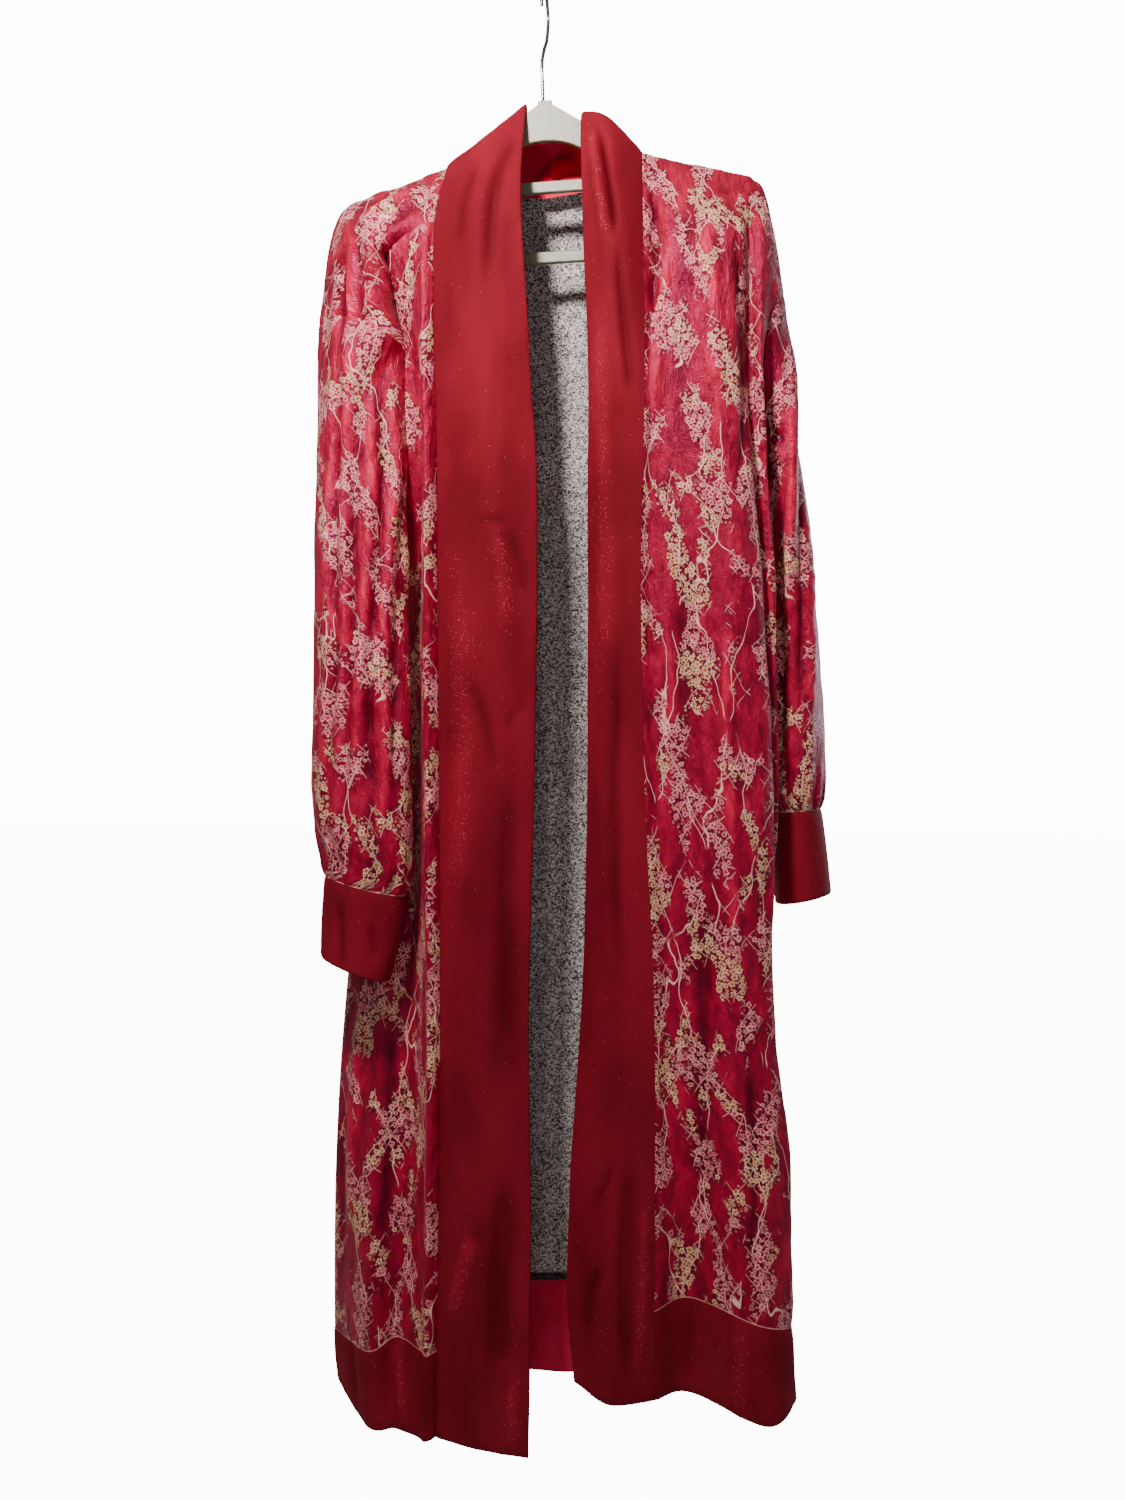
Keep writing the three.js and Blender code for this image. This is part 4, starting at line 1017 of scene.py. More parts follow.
@dataclass
class Wall:
    """A piece's wall, with rounded free edges, as one closed mesh."""

    cloth: Cloth
    piece: Piece
    round_steps: int = 3
    sharp_angle: float = 62
    polygons: list[list[int]] = field(default_factory=list)
    loops: list[list] = field(default_factory=list)

    def __post_init__(self) -> None:
        """Numbers the piece's own points and finds its edges and its rim."""
        own = self.piece.points
        local = np.full(len(self.cloth.points), -1)
        local[own] = np.arange(len(own))
        self.faces = local[self.piece.faces]
        self.points = self.cloth.points[own].copy()
        self.normals = self.cloth.normals[own]
        self.count = len(own)
        self.find_edges()
        self.find_rim()

    def find_edges(self) -> None:
        """Finds the edges with one face, and which of them are free and not sewn on."""
        starts = self.faces.reshape(-1)
        ends = np.roll(self.faces, -1, axis=1).reshape(-1)
        real = starts != ends
        backward = ends * self.count + starts
        alone = real & ~np.isin(starts * self.count + ends, backward[real])
        edges = np.stack([starts[alone], ends[alone]], axis=1)
        sewn = self.cloth.owners[self.piece.points] > 1
        self.edges = list(zip(edges.tolist(), (~sewn[edges].all(axis=1)).tolist()))

    def find_rim(self) -> None:
        """Finds the points of free edges and the way out from each, in the cloth's plane."""
        outward = np.zeros_like(self.points)
        for (a, b), free in self.edges:
            if free:
                step = self.points[b] - self.points[a]
                away = np.cross(step, self.normals[a] + self.normals[b])
                away /= max(np.linalg.norm(away), 1e-9)
                outward[a] += away
                outward[b] += away
        self.rim = np.flatnonzero(np.linalg.norm(outward, axis=1) > 1e-6)
        self.outward = outward[self.rim]
        self.outward /= np.linalg.norm(self.outward, axis=1, keepdims=True)
        self.rim_place = {int(i): k for k, i in enumerate(self.rim)}

    def vertices(self) -> Array:
        """Lays out the outside, the inside and the rounded rim.

        Returns:
            The points, in metres.
        """
        half = self.piece.wall / 2
        self.points[self.rim] -= self.outward * half
        layers = [self.points + self.normals * half, self.points - self.normals * half]
        for k in range(1, self.round_steps + 1):
            a = math.pi * (0.5 - k / (self.round_steps + 1))
            turned = self.normals[self.rim] * math.sin(a) + self.outward * math.cos(a)
            layers.append(self.points[self.rim] + half * turned)
        return np.concatenate(layers) * MM

    def ring(self, i: int) -> list[int]:
        """Goes round the rim at one point of an edge.

        Args:
            i: The point.

        Returns:
            The points from the outside to the inside.
        """
        place = self.rim_place.get(i)
        steps = range(self.round_steps) if place is not None else ()
        return [i, *(2 * self.count + k * len(self.rim) + place for k in steps), i + self.count]

    def sides(self) -> int:
        """Makes the outside, then the inside.

        Returns:
            How many faces each has.
        """
        for face, uv in zip(self.faces.tolist(), self.piece.cloth.tolist()):
            polygon = list(dict.fromkeys(face))
            if len(polygon) >= 3:
                self.polygons.append(polygon)
                self.loops.append([uv[face.index(v)] for v in polygon])
        pairs = list(zip(self.polygons, self.loops))
        self.place = {v: uv for polygon, uvs in pairs for v, uv in zip(polygon, uvs)}
        self.polygons += [[v + self.count for v in reversed(polygon)] for polygon, _ in pairs]
        self.loops += [uvs[::-1] for _, uvs in pairs]
        return len(pairs)

    def close(self) -> None:
        """Closes the wall along its edges, and the rounding where a free edge ends."""
        place = self.place
        degree = [0] * self.count
        for (a, b), free in self.edges:
            one, two = [a, a + self.count], [b, b + self.count]
            if free:
                one, two = self.ring(a), self.ring(b)
                degree[a] += 1
                degree[b] += 1
            for k in range(len(one) - 1):
                self.polygons.append([one[k + 1], two[k + 1], two[k], one[k]])
                self.loops.append([place[a], place[b], place[b], place[a]])
        for (a, b), free in self.edges:
            for v, leads in ((a, False), (b, True)):
                if free and degree[v] == 1:
                    whole = self.ring(v)
                    self.polygons.append(whole if leads else whole[::-1])
                    self.loops.append([place[v]] * len(whole))

    def build(self) -> bpy.types.Object:
        """Makes the mesh.

        Returns:
            The object, with material 0 outside and 1 inside.
        """
        piece = self.piece
        vertices = self.vertices()
        side = self.sides()
        self.close()
        mesh = bpy.data.meshes.new(piece.name + "_cloth")
        mesh.from_pydata(vertices.tolist(), [], self.polygons)
        layer = mesh.uv_layers.new(name="cloth")
        flat = np.array([uv for uvs in self.loops for uv in uvs], np.float32)
        layer.data.foreach_set("uv", flat.ravel())
        slots = np.zeros(len(self.polygons), np.int32)
        slots[side : 2 * side] = 1
        mesh.polygons.foreach_set("material_index", slots)
        mesh.materials.append(piece.outside)
        mesh.materials.append(piece.inside)
        mesh.polygons.foreach_set("use_smooth", np.ones(len(slots), bool))
        measures = {"trim_distance": self.cloth.to_trim, "crease_height": self.cloth.relief}
        for name, values in measures.items():
            own = values[piece.points]
            own = np.concatenate([own] * 2 + [own[self.rim]] * self.round_steps)
            attribute = mesh.attributes.new(name, "FLOAT", "POINT")
            attribute.data.foreach_set("value", own.astype(np.float32))
        mesh.update()
        mesh.set_sharp_from_angle(angle=math.radians(self.sharp_angle))
        return linked(piece.name + "_velvet", mesh)


def linked(name: str, data: bpy.types.ID) -> bpy.types.Object:
    """Puts data into the scene as an object.

    Args:
        name: The object's name.
        data: Its mesh, curve, light or camera.

    Returns:
        The object.
    """
    made = bpy.data.objects.new(name, data)
    bpy.context.scene.collection.objects.link(made)
    return made


def linear(colour: str) -> tuple[float, float, float, float]:
    """Turns an sRGB hex colour into a linear one.

    Args:
        colour: The colour, as #RRGGBB.

    Returns:
        Linear red, green, blue and alpha.
    """
    parts = [int(colour[k : k + 2], 16) / 255 for k in (1, 3, 5)]
    spread = [c / 12.92 if c <= 0.04045 else ((c + 0.055) / 1.055) ** 2.4 for c in parts]
    return (*spread, 1.0)


def add(
    tree: bpy.types.NodeTree, kind: str, *values: object, out: int | str = 0, **settings: object
) -> Socket:
    """Adds a node with its settings and links.

    Args:
        tree: The node tree it goes in.
        kind: The node's type, without its ShaderNode prefix.
        values: What its first inputs take, in order: a socket, a value, or None to skip one.
        out: The output to return.
        settings: The node's own properties; a name in capitals first is an input instead.

    Returns:
        The output socket asked for.
    """
    made = tree.nodes.new("ShaderNode" + kind)
    named = dict(enumerate(values))
    for name, value in settings.items():
        if name[0].isupper():
            named[name.replace("_", " ")] = value
        else:
            setattr(made, name, value)
    for name, value in named.items():
        if isinstance(value, Socket):
            tree.links.new(value, made.inputs[name])
        elif value is not None:
            made.inputs[name].default_value = value
    return made.outputs[out]


def new_material(name: str) -> tuple[bpy.types.Material, bpy.types.NodeTree]:
    """Starts a material with no nodes.

    Args:
        name: Its name.

    Returns:
        The material and its node tree.
    """
    material = bpy.data.materials.new(name)
    material.use_nodes = True
    material.node_tree.nodes.clear()
    return material, material.node_tree


def finish_surface(tree: bpy.types.NodeTree, **settings: object) -> None:
    """Ends a material with its shader, with its inputs as add() reads them, and its output."""
    shader = add(tree, "BsdfPrincipled", **settings)
    tree.links.new(shader, tree.nodes.new("ShaderNodeOutputMaterial").inputs["Surface"])


def stretched(
    tree: bpy.types.NodeTree, spot: Socket, size: tuple[float, float], **settings: float
) -> Socket:
    """Adds flat noise that is stretched along the cloth.

    Args:
        tree: The material's nodes.
        spot: Where on the cloth.
        size: The noise's size across and down, in millimetres.
        settings: The noise's own inputs.

    Returns:
        The noise.
    """
    scale = (1 / size[0], 1 / size[1], 0)
    spot = add(tree, "VectorMath", spot, scale, operation="MULTIPLY")
    return add(tree, "TexNoise", spot, noise_dimensions="2D", Scale=1.0, **settings)


def cloth_mm(tree: bpy.types.NodeTree) -> Socket:
    """Where a point lies on the flat cloth, in millimetres."""
    spot = add(tree, "UVMap", uv_map="cloth")
    return add(tree, "VectorMath", spot, operation="SCALE", Scale=1000.0)


@dataclass(frozen=True)
class Twigs:
    """One family of long twigs that wind down the cloth, in millimetres."""

    apart: float
    slant: float
    sway: float
    start: float
    bend: tuple[float, float] = (48, 95)

    def away(self, tree: bpy.types.NodeTree, spot: Socket) -> Socket:
        """Measures how far a spot is from the nearest twig of this family.

        Args:
            tree: The material's nodes.
            spot: Where on the cloth.

        Returns:
            The distance in millimetres.
        """
        shifted = add(tree, "VectorMath", spot, (self.start, self.start, 0), operation="ADD")
        wave = stretched(tree, shifted, self.bend, Detail=2.5)
        axes = add(tree, "SeparateXYZ", shifted)
        across = add(
            tree, "Math", axes.node.outputs[1], self.slant, axes, operation="MULTIPLY_ADD"
        )
        across = add(tree, "Math", wave, self.sway, across, operation="MULTIPLY_ADD")
        return add(tree, "Math", across, self.apart / 2, operation="PINGPONG")


@dataclass(frozen=True)
class BlossomPrint:
    """The printed twigs and blossoms, all sizes in millimetres on the flat cloth."""

    boughs: tuple[Twigs, ...] = (Twigs(47, 0.2, 62, 11), Twigs(55, -0.26, 58, 430))
    sprays: tuple[Twigs, ...] = (Twigs(17, 0.75, 38, 77), Twigs(19, -0.62, 36, 905))
    bough_half: float = 0.3
    spray_half: float = 0.2
    blossom_cell: float = 5.9
    blossom_radius: float = 3.5
    bud_cell: float = 3.8
    bud_radius: float = 1.6
    cluster: float = 25
    bud_thickness: float = 0.53
    blossom_thickness: float = 0.562
    cream_patch: float = 58
    bough_gap: float = 70
    pink_deep: str = "#B83850"
    pink_pale: str = "#FFB8B6"
    cream_deep: str = "#B0704C"
    cream_pale: str = "#FFDDB4"
    twig_colour: str = "#FABEB4"
    heart_colour: str = "#6A0C26"

    def nearest(
        self, tree: bpy.types.NodeTree, spot: Socket, families: tuple[Twigs, ...]
    ) -> Socket:
        """Measures how far a spot is from the nearest twig of several families.

        Args:
            tree: The material's nodes.
            spot: Where on the cloth.
            families: The families.

        Returns:
            The distance in millimetres.
        """
        return add(
            tree, "Math", *[twigs.away(tree, spot) for twigs in families], operation="MINIMUM"
        )

    def crowded(self, tree: bpy.types.NodeTree, spot: Socket) -> Socket:
        """Finds how thick the blossom grows, in long clusters that hang along the boughs.

        Args:
            tree: The material's nodes.
            spot: Where on the cloth.

        Returns:
            The thickness, near 0.5 on the whole and more in a cluster.
        """
        squeezed = add(tree, "VectorMath", spot, (1.0, 0.48, 0), operation="MULTIPLY")
        drift = add(
            tree, "TexNoise", squeezed, noise_dimensions="2D",
            Scale=1 / self.cluster, Detail=2.0, Roughness=0.5,
        )
        near = self.nearest(tree, spot, self.boughs)
        near = add(tree, "MapRange", near, 3.0, 17.0, 0.07, -0.12)
        return add(tree, "Math", drift, near, operation="ADD")

    def flowers(
        self, tree: bpy.types.NodeTree, spot: Socket, cell: float, radius: float, sparse: float
    ) -> tuple[Socket, Socket, Socket, Socket]:
        """Draws five-petalled flowers, one to each cell, where the clusters are thick enough.

        Args:
            tree: The material's nodes.
            spot: Where on the cloth.
            cell: Distance between flowers.
            radius: The largest flower's radius.
            sparse: How thick a cluster has to be to bear one.

        Returns:
            Where flowers are, their tone from heart to rim, their random colour and centre.
        """
        centre = add(
            tree, "TexVoronoi", spot, voronoi_dimensions="2D", out="Position",
            Scale=1 / cell, Randomness=0.85,
        )
        random = centre.node.outputs["Color"]
        parts = add(tree, "SeparateColor", random)
        phase, size, _ = parts.node.outputs
        away = add(tree, "VectorMath", spot, centre, operation="SUBTRACT")
        reach = add(tree, "VectorMath", away, operation="LENGTH", out="Value")
        axes = add(tree, "SeparateXYZ", away)
        angle = add(tree, "Math", axes.node.outputs[1], axes, operation="ARCTAN2")
        turned = add(tree, "Math", phase, 6.28, operation="MULTIPLY")
        angle = add(tree, "Math", angle, 2.5, turned, operation="MULTIPLY_ADD")
        lobes = add(tree, "Math", angle, operation="COSINE")
        lobes = add(tree, "Math", lobes, operation="ABSOLUTE")
        lobes = add(tree, "Math", lobes, 0.6, operation="POWER")
        lobes = add(tree, "Math", lobes, 0.5, 0.5, operation="MULTIPLY_ADD")
        size = add(tree, "MapRange", size, 0.0, 1.0, radius * 0.55, radius)
        rim = add(tree, "Math", lobes, size, operation="MULTIPLY")
        inside = add(tree, "Math", rim, reach, operation="SUBTRACT")
        inside = add(tree, "MapRange", inside, 0.0, 0.35, interpolation_type="SMOOTHSTEP")
        thick = self.crowded(tree, centre)
        borne = add(tree, "MapRange", thick, sparse - 0.008, sparse + 0.008)
        shown = add(tree, "Math", inside, borne, operation="MULTIPLY")
        tone = add(tree, "Math", reach, rim, operation="DIVIDE")
        return shown, tone, random, centre


@dataclass(frozen=True)
class PrintedCrushedVelvet:
    """Polyester warp-knit velvet, crushed and screen printed.

    The crushed pile lies in patches, so the eye sees satin streaks that turn pale pink on
    every fold, over a wine ground with the print's pale blossom on top. Painted shade darkens
    the troughs of the folds and painted light brightens their ridges.
    """

    ground_deep: str = "#6C0C20"
    ground_bright: str = "#A21632"
    shade: str = "#420518"
    sheen: str = "#FF3A78"
    gloss: str = "#FF5296"
    patch: tuple[float, float] = (11, 34)
    nap: tuple[float, float] = (7, 19)
    pile: float = 1.6
    motif: BlossomPrint = BlossomPrint()

    def build(self) -> bpy.types.Material:
        """Makes the material.

        Returns:
            The printed velvet.
        """
        material, tree = new_material("printed_crushed_velvet")
        spot = cloth_mm(tree)
        motif = self.motif

        # Patches of pile that lie different ways, long down the cloth
        patch = stretched(tree, spot, self.patch, Detail=4.0, Roughness=0.6, Distortion=0.5)
        patch = add(tree, "MapRange", patch, 0.34, 0.66)
        ground = add(
            tree, "MixRGB", patch, linear(self.ground_deep), linear(self.ground_bright)
        )
        thick = motif.crowded(tree, spot)
        dusk = add(tree, "MapRange", thick, 0.47, 0.6, 0.0, 0.7)
        ground = add(tree, "MixRGB", dusk, ground, linear(self.shade))

        # Painted shade darkens the troughs of the folds and painted light brightens their ridges,
        # from the crease height
        painted_fold_shade = add(tree, "Attribute", attribute_name="crease_height", out="Fac")
        painted_fold_shade = add(tree, "MapRange", painted_fold_shade, -3.4, 3.4, 0.42, 1.75)
        ground = add(tree, "VectorMath", ground, operation="SCALE", Scale=painted_fold_shade)

        # Boughs, broken where the print leaves them out, and finer sprays in the clusters
        gaps = add(
            tree, "TexNoise", spot, noise_dimensions="2D", Scale=1 / motif.bough_gap, Detail=1.0
        )
        drawn = add(tree, "MapRange", gaps, 0.42, 0.45)
        away = motif.nearest(tree, spot, motif.boughs)
        boughs = add(
            tree, "MapRange", away, motif.bough_half, motif.bough_half * 2.2, 1.0, 0.0
        )
        boughs = add(tree, "Math", boughs, drawn, operation="MULTIPLY")
        away = motif.nearest(tree, spot, motif.sprays)
        sprays = add(
            tree, "MapRange", away, motif.spray_half, motif.spray_half * 2.6, 0.75, 0.0
        )
        near = add(tree, "MapRange", thick, 0.47, 0.5)
        sprays = add(tree, "Math", sprays, near, operation="MULTIPLY")
        twigs = add(tree, "Math", boughs, sprays, operation="MAXIMUM")
        colour = add(tree, "MixRGB", twigs, ground, linear(motif.twig_colour))

        for cell, radius, sparse in (
            (motif.bud_cell, motif.bud_radius, motif.bud_thickness),
            (motif.blossom_cell, motif.blossom_radius, motif.blossom_thickness),
        ):
            shown, tone, random, centre = motif.flowers(tree, spot, cell, radius, sparse)
            warm = add(
                tree, "TexNoise", centre, noise_dimensions="2D",
                Scale=1 / motif.cream_patch, Detail=0.5,
            )
            warm = add(tree, "MapRange", warm, 0.535, 0.55)
            own = add(tree, "SeparateColor", random, out="Blue")
            # Each petal is a pale line round a deeper blush
            line = add(tree, "MapRange", tone, 0.5, 0.85)
            pale = add(tree, "Math", own, 0.45, line, operation="MULTIPLY_ADD")
            pale = add(tree, "MapRange", pale, 0.1, 1.25)
            pink = add(tree, "MixRGB", pale, linear(motif.pink_deep), linear(motif.pink_pale))
            cream = add(tree, "MixRGB", pale, linear(motif.cream_deep), linear(motif.cream_pale))
            petal = add(tree, "MixRGB", warm, pink, cream)
            heart = add(tree, "MapRange", tone, 0.16, 0.32, 0.8, 0.0)
            petal = add(tree, "MixRGB", heart, petal, linear(motif.heart_colour))
            colour = add(tree, "MixRGB", shown, colour, petal)

        # The raw printed edge shows as a thin pale line where a band is sewn on
        trim = add(tree, "Attribute", attribute_name="trim_distance", out="Fac")
        trim = add(tree, "MapRange", trim, 0.7, 1.3, 0.7, 0.0)
        colour = add(tree, "MixRGB", trim, colour, linear(motif.twig_colour))

        # The crushed nap, with the pile's own fine grain on it
        nap = stretched(tree, spot, self.nap, Detail=5.0, Roughness=0.62)
        pile = add(tree, "TexNoise", spot, noise_dimensions="2D", Scale=1 / self.pile, Detail=1.0)
        relief = add(tree, "Math", pile, 0.16, nap, operation="MULTIPLY_ADD")
        bump = add(tree, "Bump", Strength=1.0, Distance=0.0026, Height=relief)
        finish_surface(
            tree, Base_Color=colour, Normal=bump, Roughness=0.36, IOR=1.46,
            Specular_IOR_Level=0.9, Specular_Tint=linear(self.gloss),
            Sheen_Weight=0.15, Sheen_Roughness=0.35, Sheen_Tint=linear(self.sheen),
        )
        return material


@dataclass(frozen=True)
class PlainVelvet:
    """Plain sheared polyester velvet, dyed crimson.

    The upright pile drinks the light, so folds go nearly black-red and edges glow, with a
    few pinpricks of light from the pile's bright fibre. The folds' troughs are also painted
    darker and their ridges painted brighter, and the pinpricks are painted glints.
    """

    name: str = "plain_sheared_velvet"
    deep: str = "#6A121F"
    bright: str = "#7C1726"
    sheen: str = "#D82440"
    glint: str = "#CC5C70"
    gloss: str = "#FF5A70"
    brushed: tuple[float, float] = (60, 130)
    fibre: float = 0.9
    glints_apart: float = 1.8

    def build(self) -> bpy.types.Material:
        """Makes the material.

        Returns:
            The plain velvet.
        """
        material, tree = new_material(self.name)
        spot = cloth_mm(tree)
        brushed = stretched(tree, spot, self.brushed, Detail=3.0)
        brushed = add(tree, "MapRange", brushed, 0.36, 0.64)
        colour = add(tree, "MixRGB", brushed, linear(self.deep), linear(self.bright))
        fibre = add(
            tree, "TexNoise", spot, noise_dimensions="2D", Scale=1 / self.fibre, Detail=2.0
        )
        shade = add(tree, "MapRange", fibre, 0.3, 0.7, 0.82, 1.14)
        # Painted shade in the troughs of the folds and painted highlight on their ridges, from
        # the crease height
        painted_fold_shade = add(tree, "Attribute", attribute_name="crease_height", out="Fac")
        painted_fold_shade = add(tree, "MapRange", painted_fold_shade, -3.0, 3.0, 0.66, 1.34)
        shade = add(tree, "Math", shade, painted_fold_shade, operation="MULTIPLY")
        colour = add(tree, "VectorMath", colour, operation="SCALE", Scale=shade)
        # Painted glints: highlights of bright fibre painted into the colour, drawn 0.9 mm wide so
        # that they show
        centre = add(
            tree, "TexVoronoi", spot, voronoi_dimensions="2D", out="Distance",
            Scale=1 / self.glints_apart, Randomness=1.0,
        )
        lucky = add(tree, "SeparateColor", centre.node.outputs["Color"])
        spark = add(tree, "MapRange", centre, 0.26, 0.12)
        # The pile parts along a ridge, so more painted glints are put there
        least = add(tree, "MapRange", painted_fold_shade, 1.04, 1.26, 0.998, 0.86)
        chosen = add(tree, "Math", lucky, least, operation="GREATER_THAN")
        spark = add(tree, "Math", spark, chosen, operation="MULTIPLY")
        colour = add(tree, "MixRGB", spark, colour, linear(self.glint))
        bump = add(tree, "Bump", Strength=0.35, Distance=0.0005, Height=fibre)
        finish_surface(
            tree, Base_Color=colour, Normal=bump, Roughness=0.68, IOR=1.46,
            Specular_IOR_Level=0.25, Specular_Tint=linear(self.gloss),
            Sheen_Weight=0.22, Sheen_Roughness=0.4, Sheen_Tint=linear(self.sheen),
        )
        return material


@dataclass(frozen=True)
class VelvetKnitBack:
    """The velvet's knitted back, charcoal yarn with the pale ends of the pile showing.

    It gives the eye a salt and pepper grain with no shine. The loops are drawn 1.2 mm wide,
    about twice the real size, so that they show.
    """

    yarn: str = "#4C4548"
    fleck: str = "#EDE7E7"
    overlock: str = "#161214"
    loop: float = 1.2
    patch: float = 60

    def build(self) -> bpy.types.Material:
        """Makes the material.

        Returns:
            The knitted back.
        """
        material, tree = new_material("velvet_knit_back")
        spot = cloth_mm(tree)
        loops = add(
            tree, "TexVoronoi", spot, voronoi_dimensions="2D", out="Color",
            Scale=1 / self.loop, Randomness=1.0,
        )
        loops = add(tree, "SeparateColor", loops)
        flecks = add(tree, "MapRange", loops, 0.15, 0.9)
        patches = add(
            tree, "TexNoise", spot, noise_dimensions="2D", Scale=1 / self.patch, Detail=2.0
        )
        patches = add(tree, "MapRange", patches, 0.3, 0.7, 0.75, 1.0)
        flecks = add(tree, "Math", flecks, patches, operation="MULTIPLY")
        colour = add(tree, "MixRGB", flecks, linear(self.yarn), linear(self.fleck))
        # A dark overlocked line runs just above the hem's seam
        trim = add(tree, "Attribute", attribute_name="trim_distance", out="Fac")
        trim = add(tree, "MapRange", trim, 6.0, 9.0, 0.88, 0.0)
        colour = add(tree, "MixRGB", trim, colour, linear(self.overlock))
        bump = add(tree, "Bump", Strength=0.5, Distance=0.0006, Height=loops)
        finish_surface(
            tree, Base_Color=colour, Normal=bump, Roughness=0.85, IOR=1.5, Specular_IOR_Level=0.2
        )
        return material


@dataclass(frozen=True)
class MouldedPolystyrene:
    """Off-white injection-moulded polystyrene with a fine spark-eroded mould grain.

    The grain blurs its highlights into a soft satin, as cheap shop hangers have.
    """

    colour: str = "#8A8E76"
    shade: str = "#7A7E66"
    grain: float = 1.6
    cloud: float = 4

    def build(self) -> bpy.types.Material:
        """Makes the material.

        Returns:
            The hanger's plastic.
        """
        material, tree = new_material("moulded_polystyrene")
        spot = add(tree, "TexCoord", out="Object")
        spot = add(tree, "VectorMath", spot, operation="SCALE", Scale=1000.0)
        grain = add(tree, "TexNoise", spot, Scale=1 / self.grain, Detail=2.0)
        cloudy = add(tree, "TexNoise", spot, Scale=1 / self.cloud, Detail=4.0, Roughness=0.65)
        cloudy = add(tree, "MapRange", cloudy, 0.36, 0.64)
        colour = add(tree, "MixRGB", cloudy, linear(self.shade), linear(self.colour))
        bump = add(tree, "Bump", Strength=0.6, Distance=0.0004, Height=grain)
        finish_surface(tree, Base_Color=colour, Normal=bump, Roughness=0.42, IOR=1.59)
        return material


@dataclass(frozen=True)
class PlatedWire:
    """Drawn steel wire with nickel plating gone dull, faintly scratched along its length.

    The scratches draw its highlights out into long soft lines.
    """

    colour: str = "#8E8A84"
    scratches_per_m: Spot = (2200, 2200, 90)

    def build(self) -> bpy.types.Material:
        """Makes the material.

        Returns:
            The hook's metal.
        """
        material, tree = new_material("nickel_plated_wire")
        spot = add(tree, "TexCoord", out="Object")
        drawn = add(tree, "VectorMath", spot, self.scratches_per_m, operation="MULTIPLY")
        drawn = add(tree, "TexNoise", drawn, Scale=1.0, Detail=2.0)
        roughness = add(tree, "MapRange", drawn, 0.3, 0.7, 0.2, 0.38)
        finish_surface(
            tree, Base_Color=linear(self.colour), Metallic=1.0, Roughness=roughness
        )
        return material


@dataclass(frozen=True)
class MattPaper:
    """White background paper with a matt coating, which glows so that it shows pure white."""

    colour: str = "#F4F4F2"
    glow_colour: str = "#FFFFFF"
    glow: float = 12.0

    def build(self) -> bpy.types.Material:
        """Makes the material.

        Returns:
            The floor's paper.
        """
        material, tree = new_material("matt_white_paper")
        finish_surface(
            tree, Base_Color=linear(self.colour), Roughness=0.9, IOR=1.45,
            Emission_Color=linear(self.glow_colour), Emission_Strength=self.glow,
        )
        return material


@dataclass
class Robe:
    """The sewn robe: fronts, back, sleeves, bands, cuffs and hem bands."""

    cut: RobeCut = field(default_factory=RobeCut)

    def pieces(self) -> list[Piece]:
        """Names every piece, with its cut size in metres and its area in square metres.

        Returns:
            The pieces, without their finishes.
        """
        c = self.cut
        hem = sum(HEM_ROWS) * ROW_FINE
        thin = (PRINT_WALL, "printed_velvet")
        double = (DOUBLE_WALL, "plain_velvet")
        return [
            Piece("back_panel", [c.flap_grid, c.back_grid[:-hem]], *thin, (0.52, 1.25), 0.456),
            Piece("front_panel_left", [c.left[:-hem]], *thin, (0.17, 1.12), 0.116),
            Piece("front_panel_right", [c.right[:-hem]], *thin, (0.19, 1.20), 0.180),
            Piece("neck_band_left", [c.band_left], *double, (0.093, 1.40), 0.121),
            Piece("neck_band_right", [c.band_right], *double, (0.078, 1.34), 0.087),
            Piece("hem_band_back", [c.back_grid[-hem - 1 :]], *double, (0.46, 0.09), 0.036),
            Piece("hem_band_left", [c.left[-hem - 1 :]], *double, (0.14, 0.085), 0.0103),
            Piece("hem_band_right", [c.right[-hem - 1 :]], *double, (0.19, 0.09), 0.0154),
            Piece("sleeve_left", [c.sleeve_left], *thin, (0.30, 0.56), 0.119),
            Piece("sleeve_right", [c.sleeve_right], *thin, (0.24, 0.50), 0.0885),
            Piece("cuff_left", [c.cuff_left], *double, (0.20, 0.085), 0.0150),
            Piece("cuff_right", [c.cuff_right], *double, (0.18, 0.088), 0.0154),
        ]

    def build(self) -> None:
        """Makes the pieces, creases them together and says what each one is."""
        printed = PrintedCrushedVelvet().build()
        plain = PlainVelvet().build()
        # The bands' inside is the plain velvet painted brighter, as painted light where the lamps
        # hardly reach
        painted_bright_facing = PlainVelvet("plain_velvet_facing_painted_bright", "#C8203E", "#E03058").build()
        knit = VelvetKnitBack().build()
        pieces = self.pieces()
        for piece in pieces:
            piece.outside = printed if piece.printed else plain
            piece.inside = knit if piece.printed else painted_bright_facing
        cloth = Cloth(pieces)
        cloth.crease()
        for piece in pieces:
            made = Wall(cloth, piece).build()
            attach(made, "root")
            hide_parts(piece.name)
            LOG.info("%s: %d faces", made.name, len(made.data.polygons))


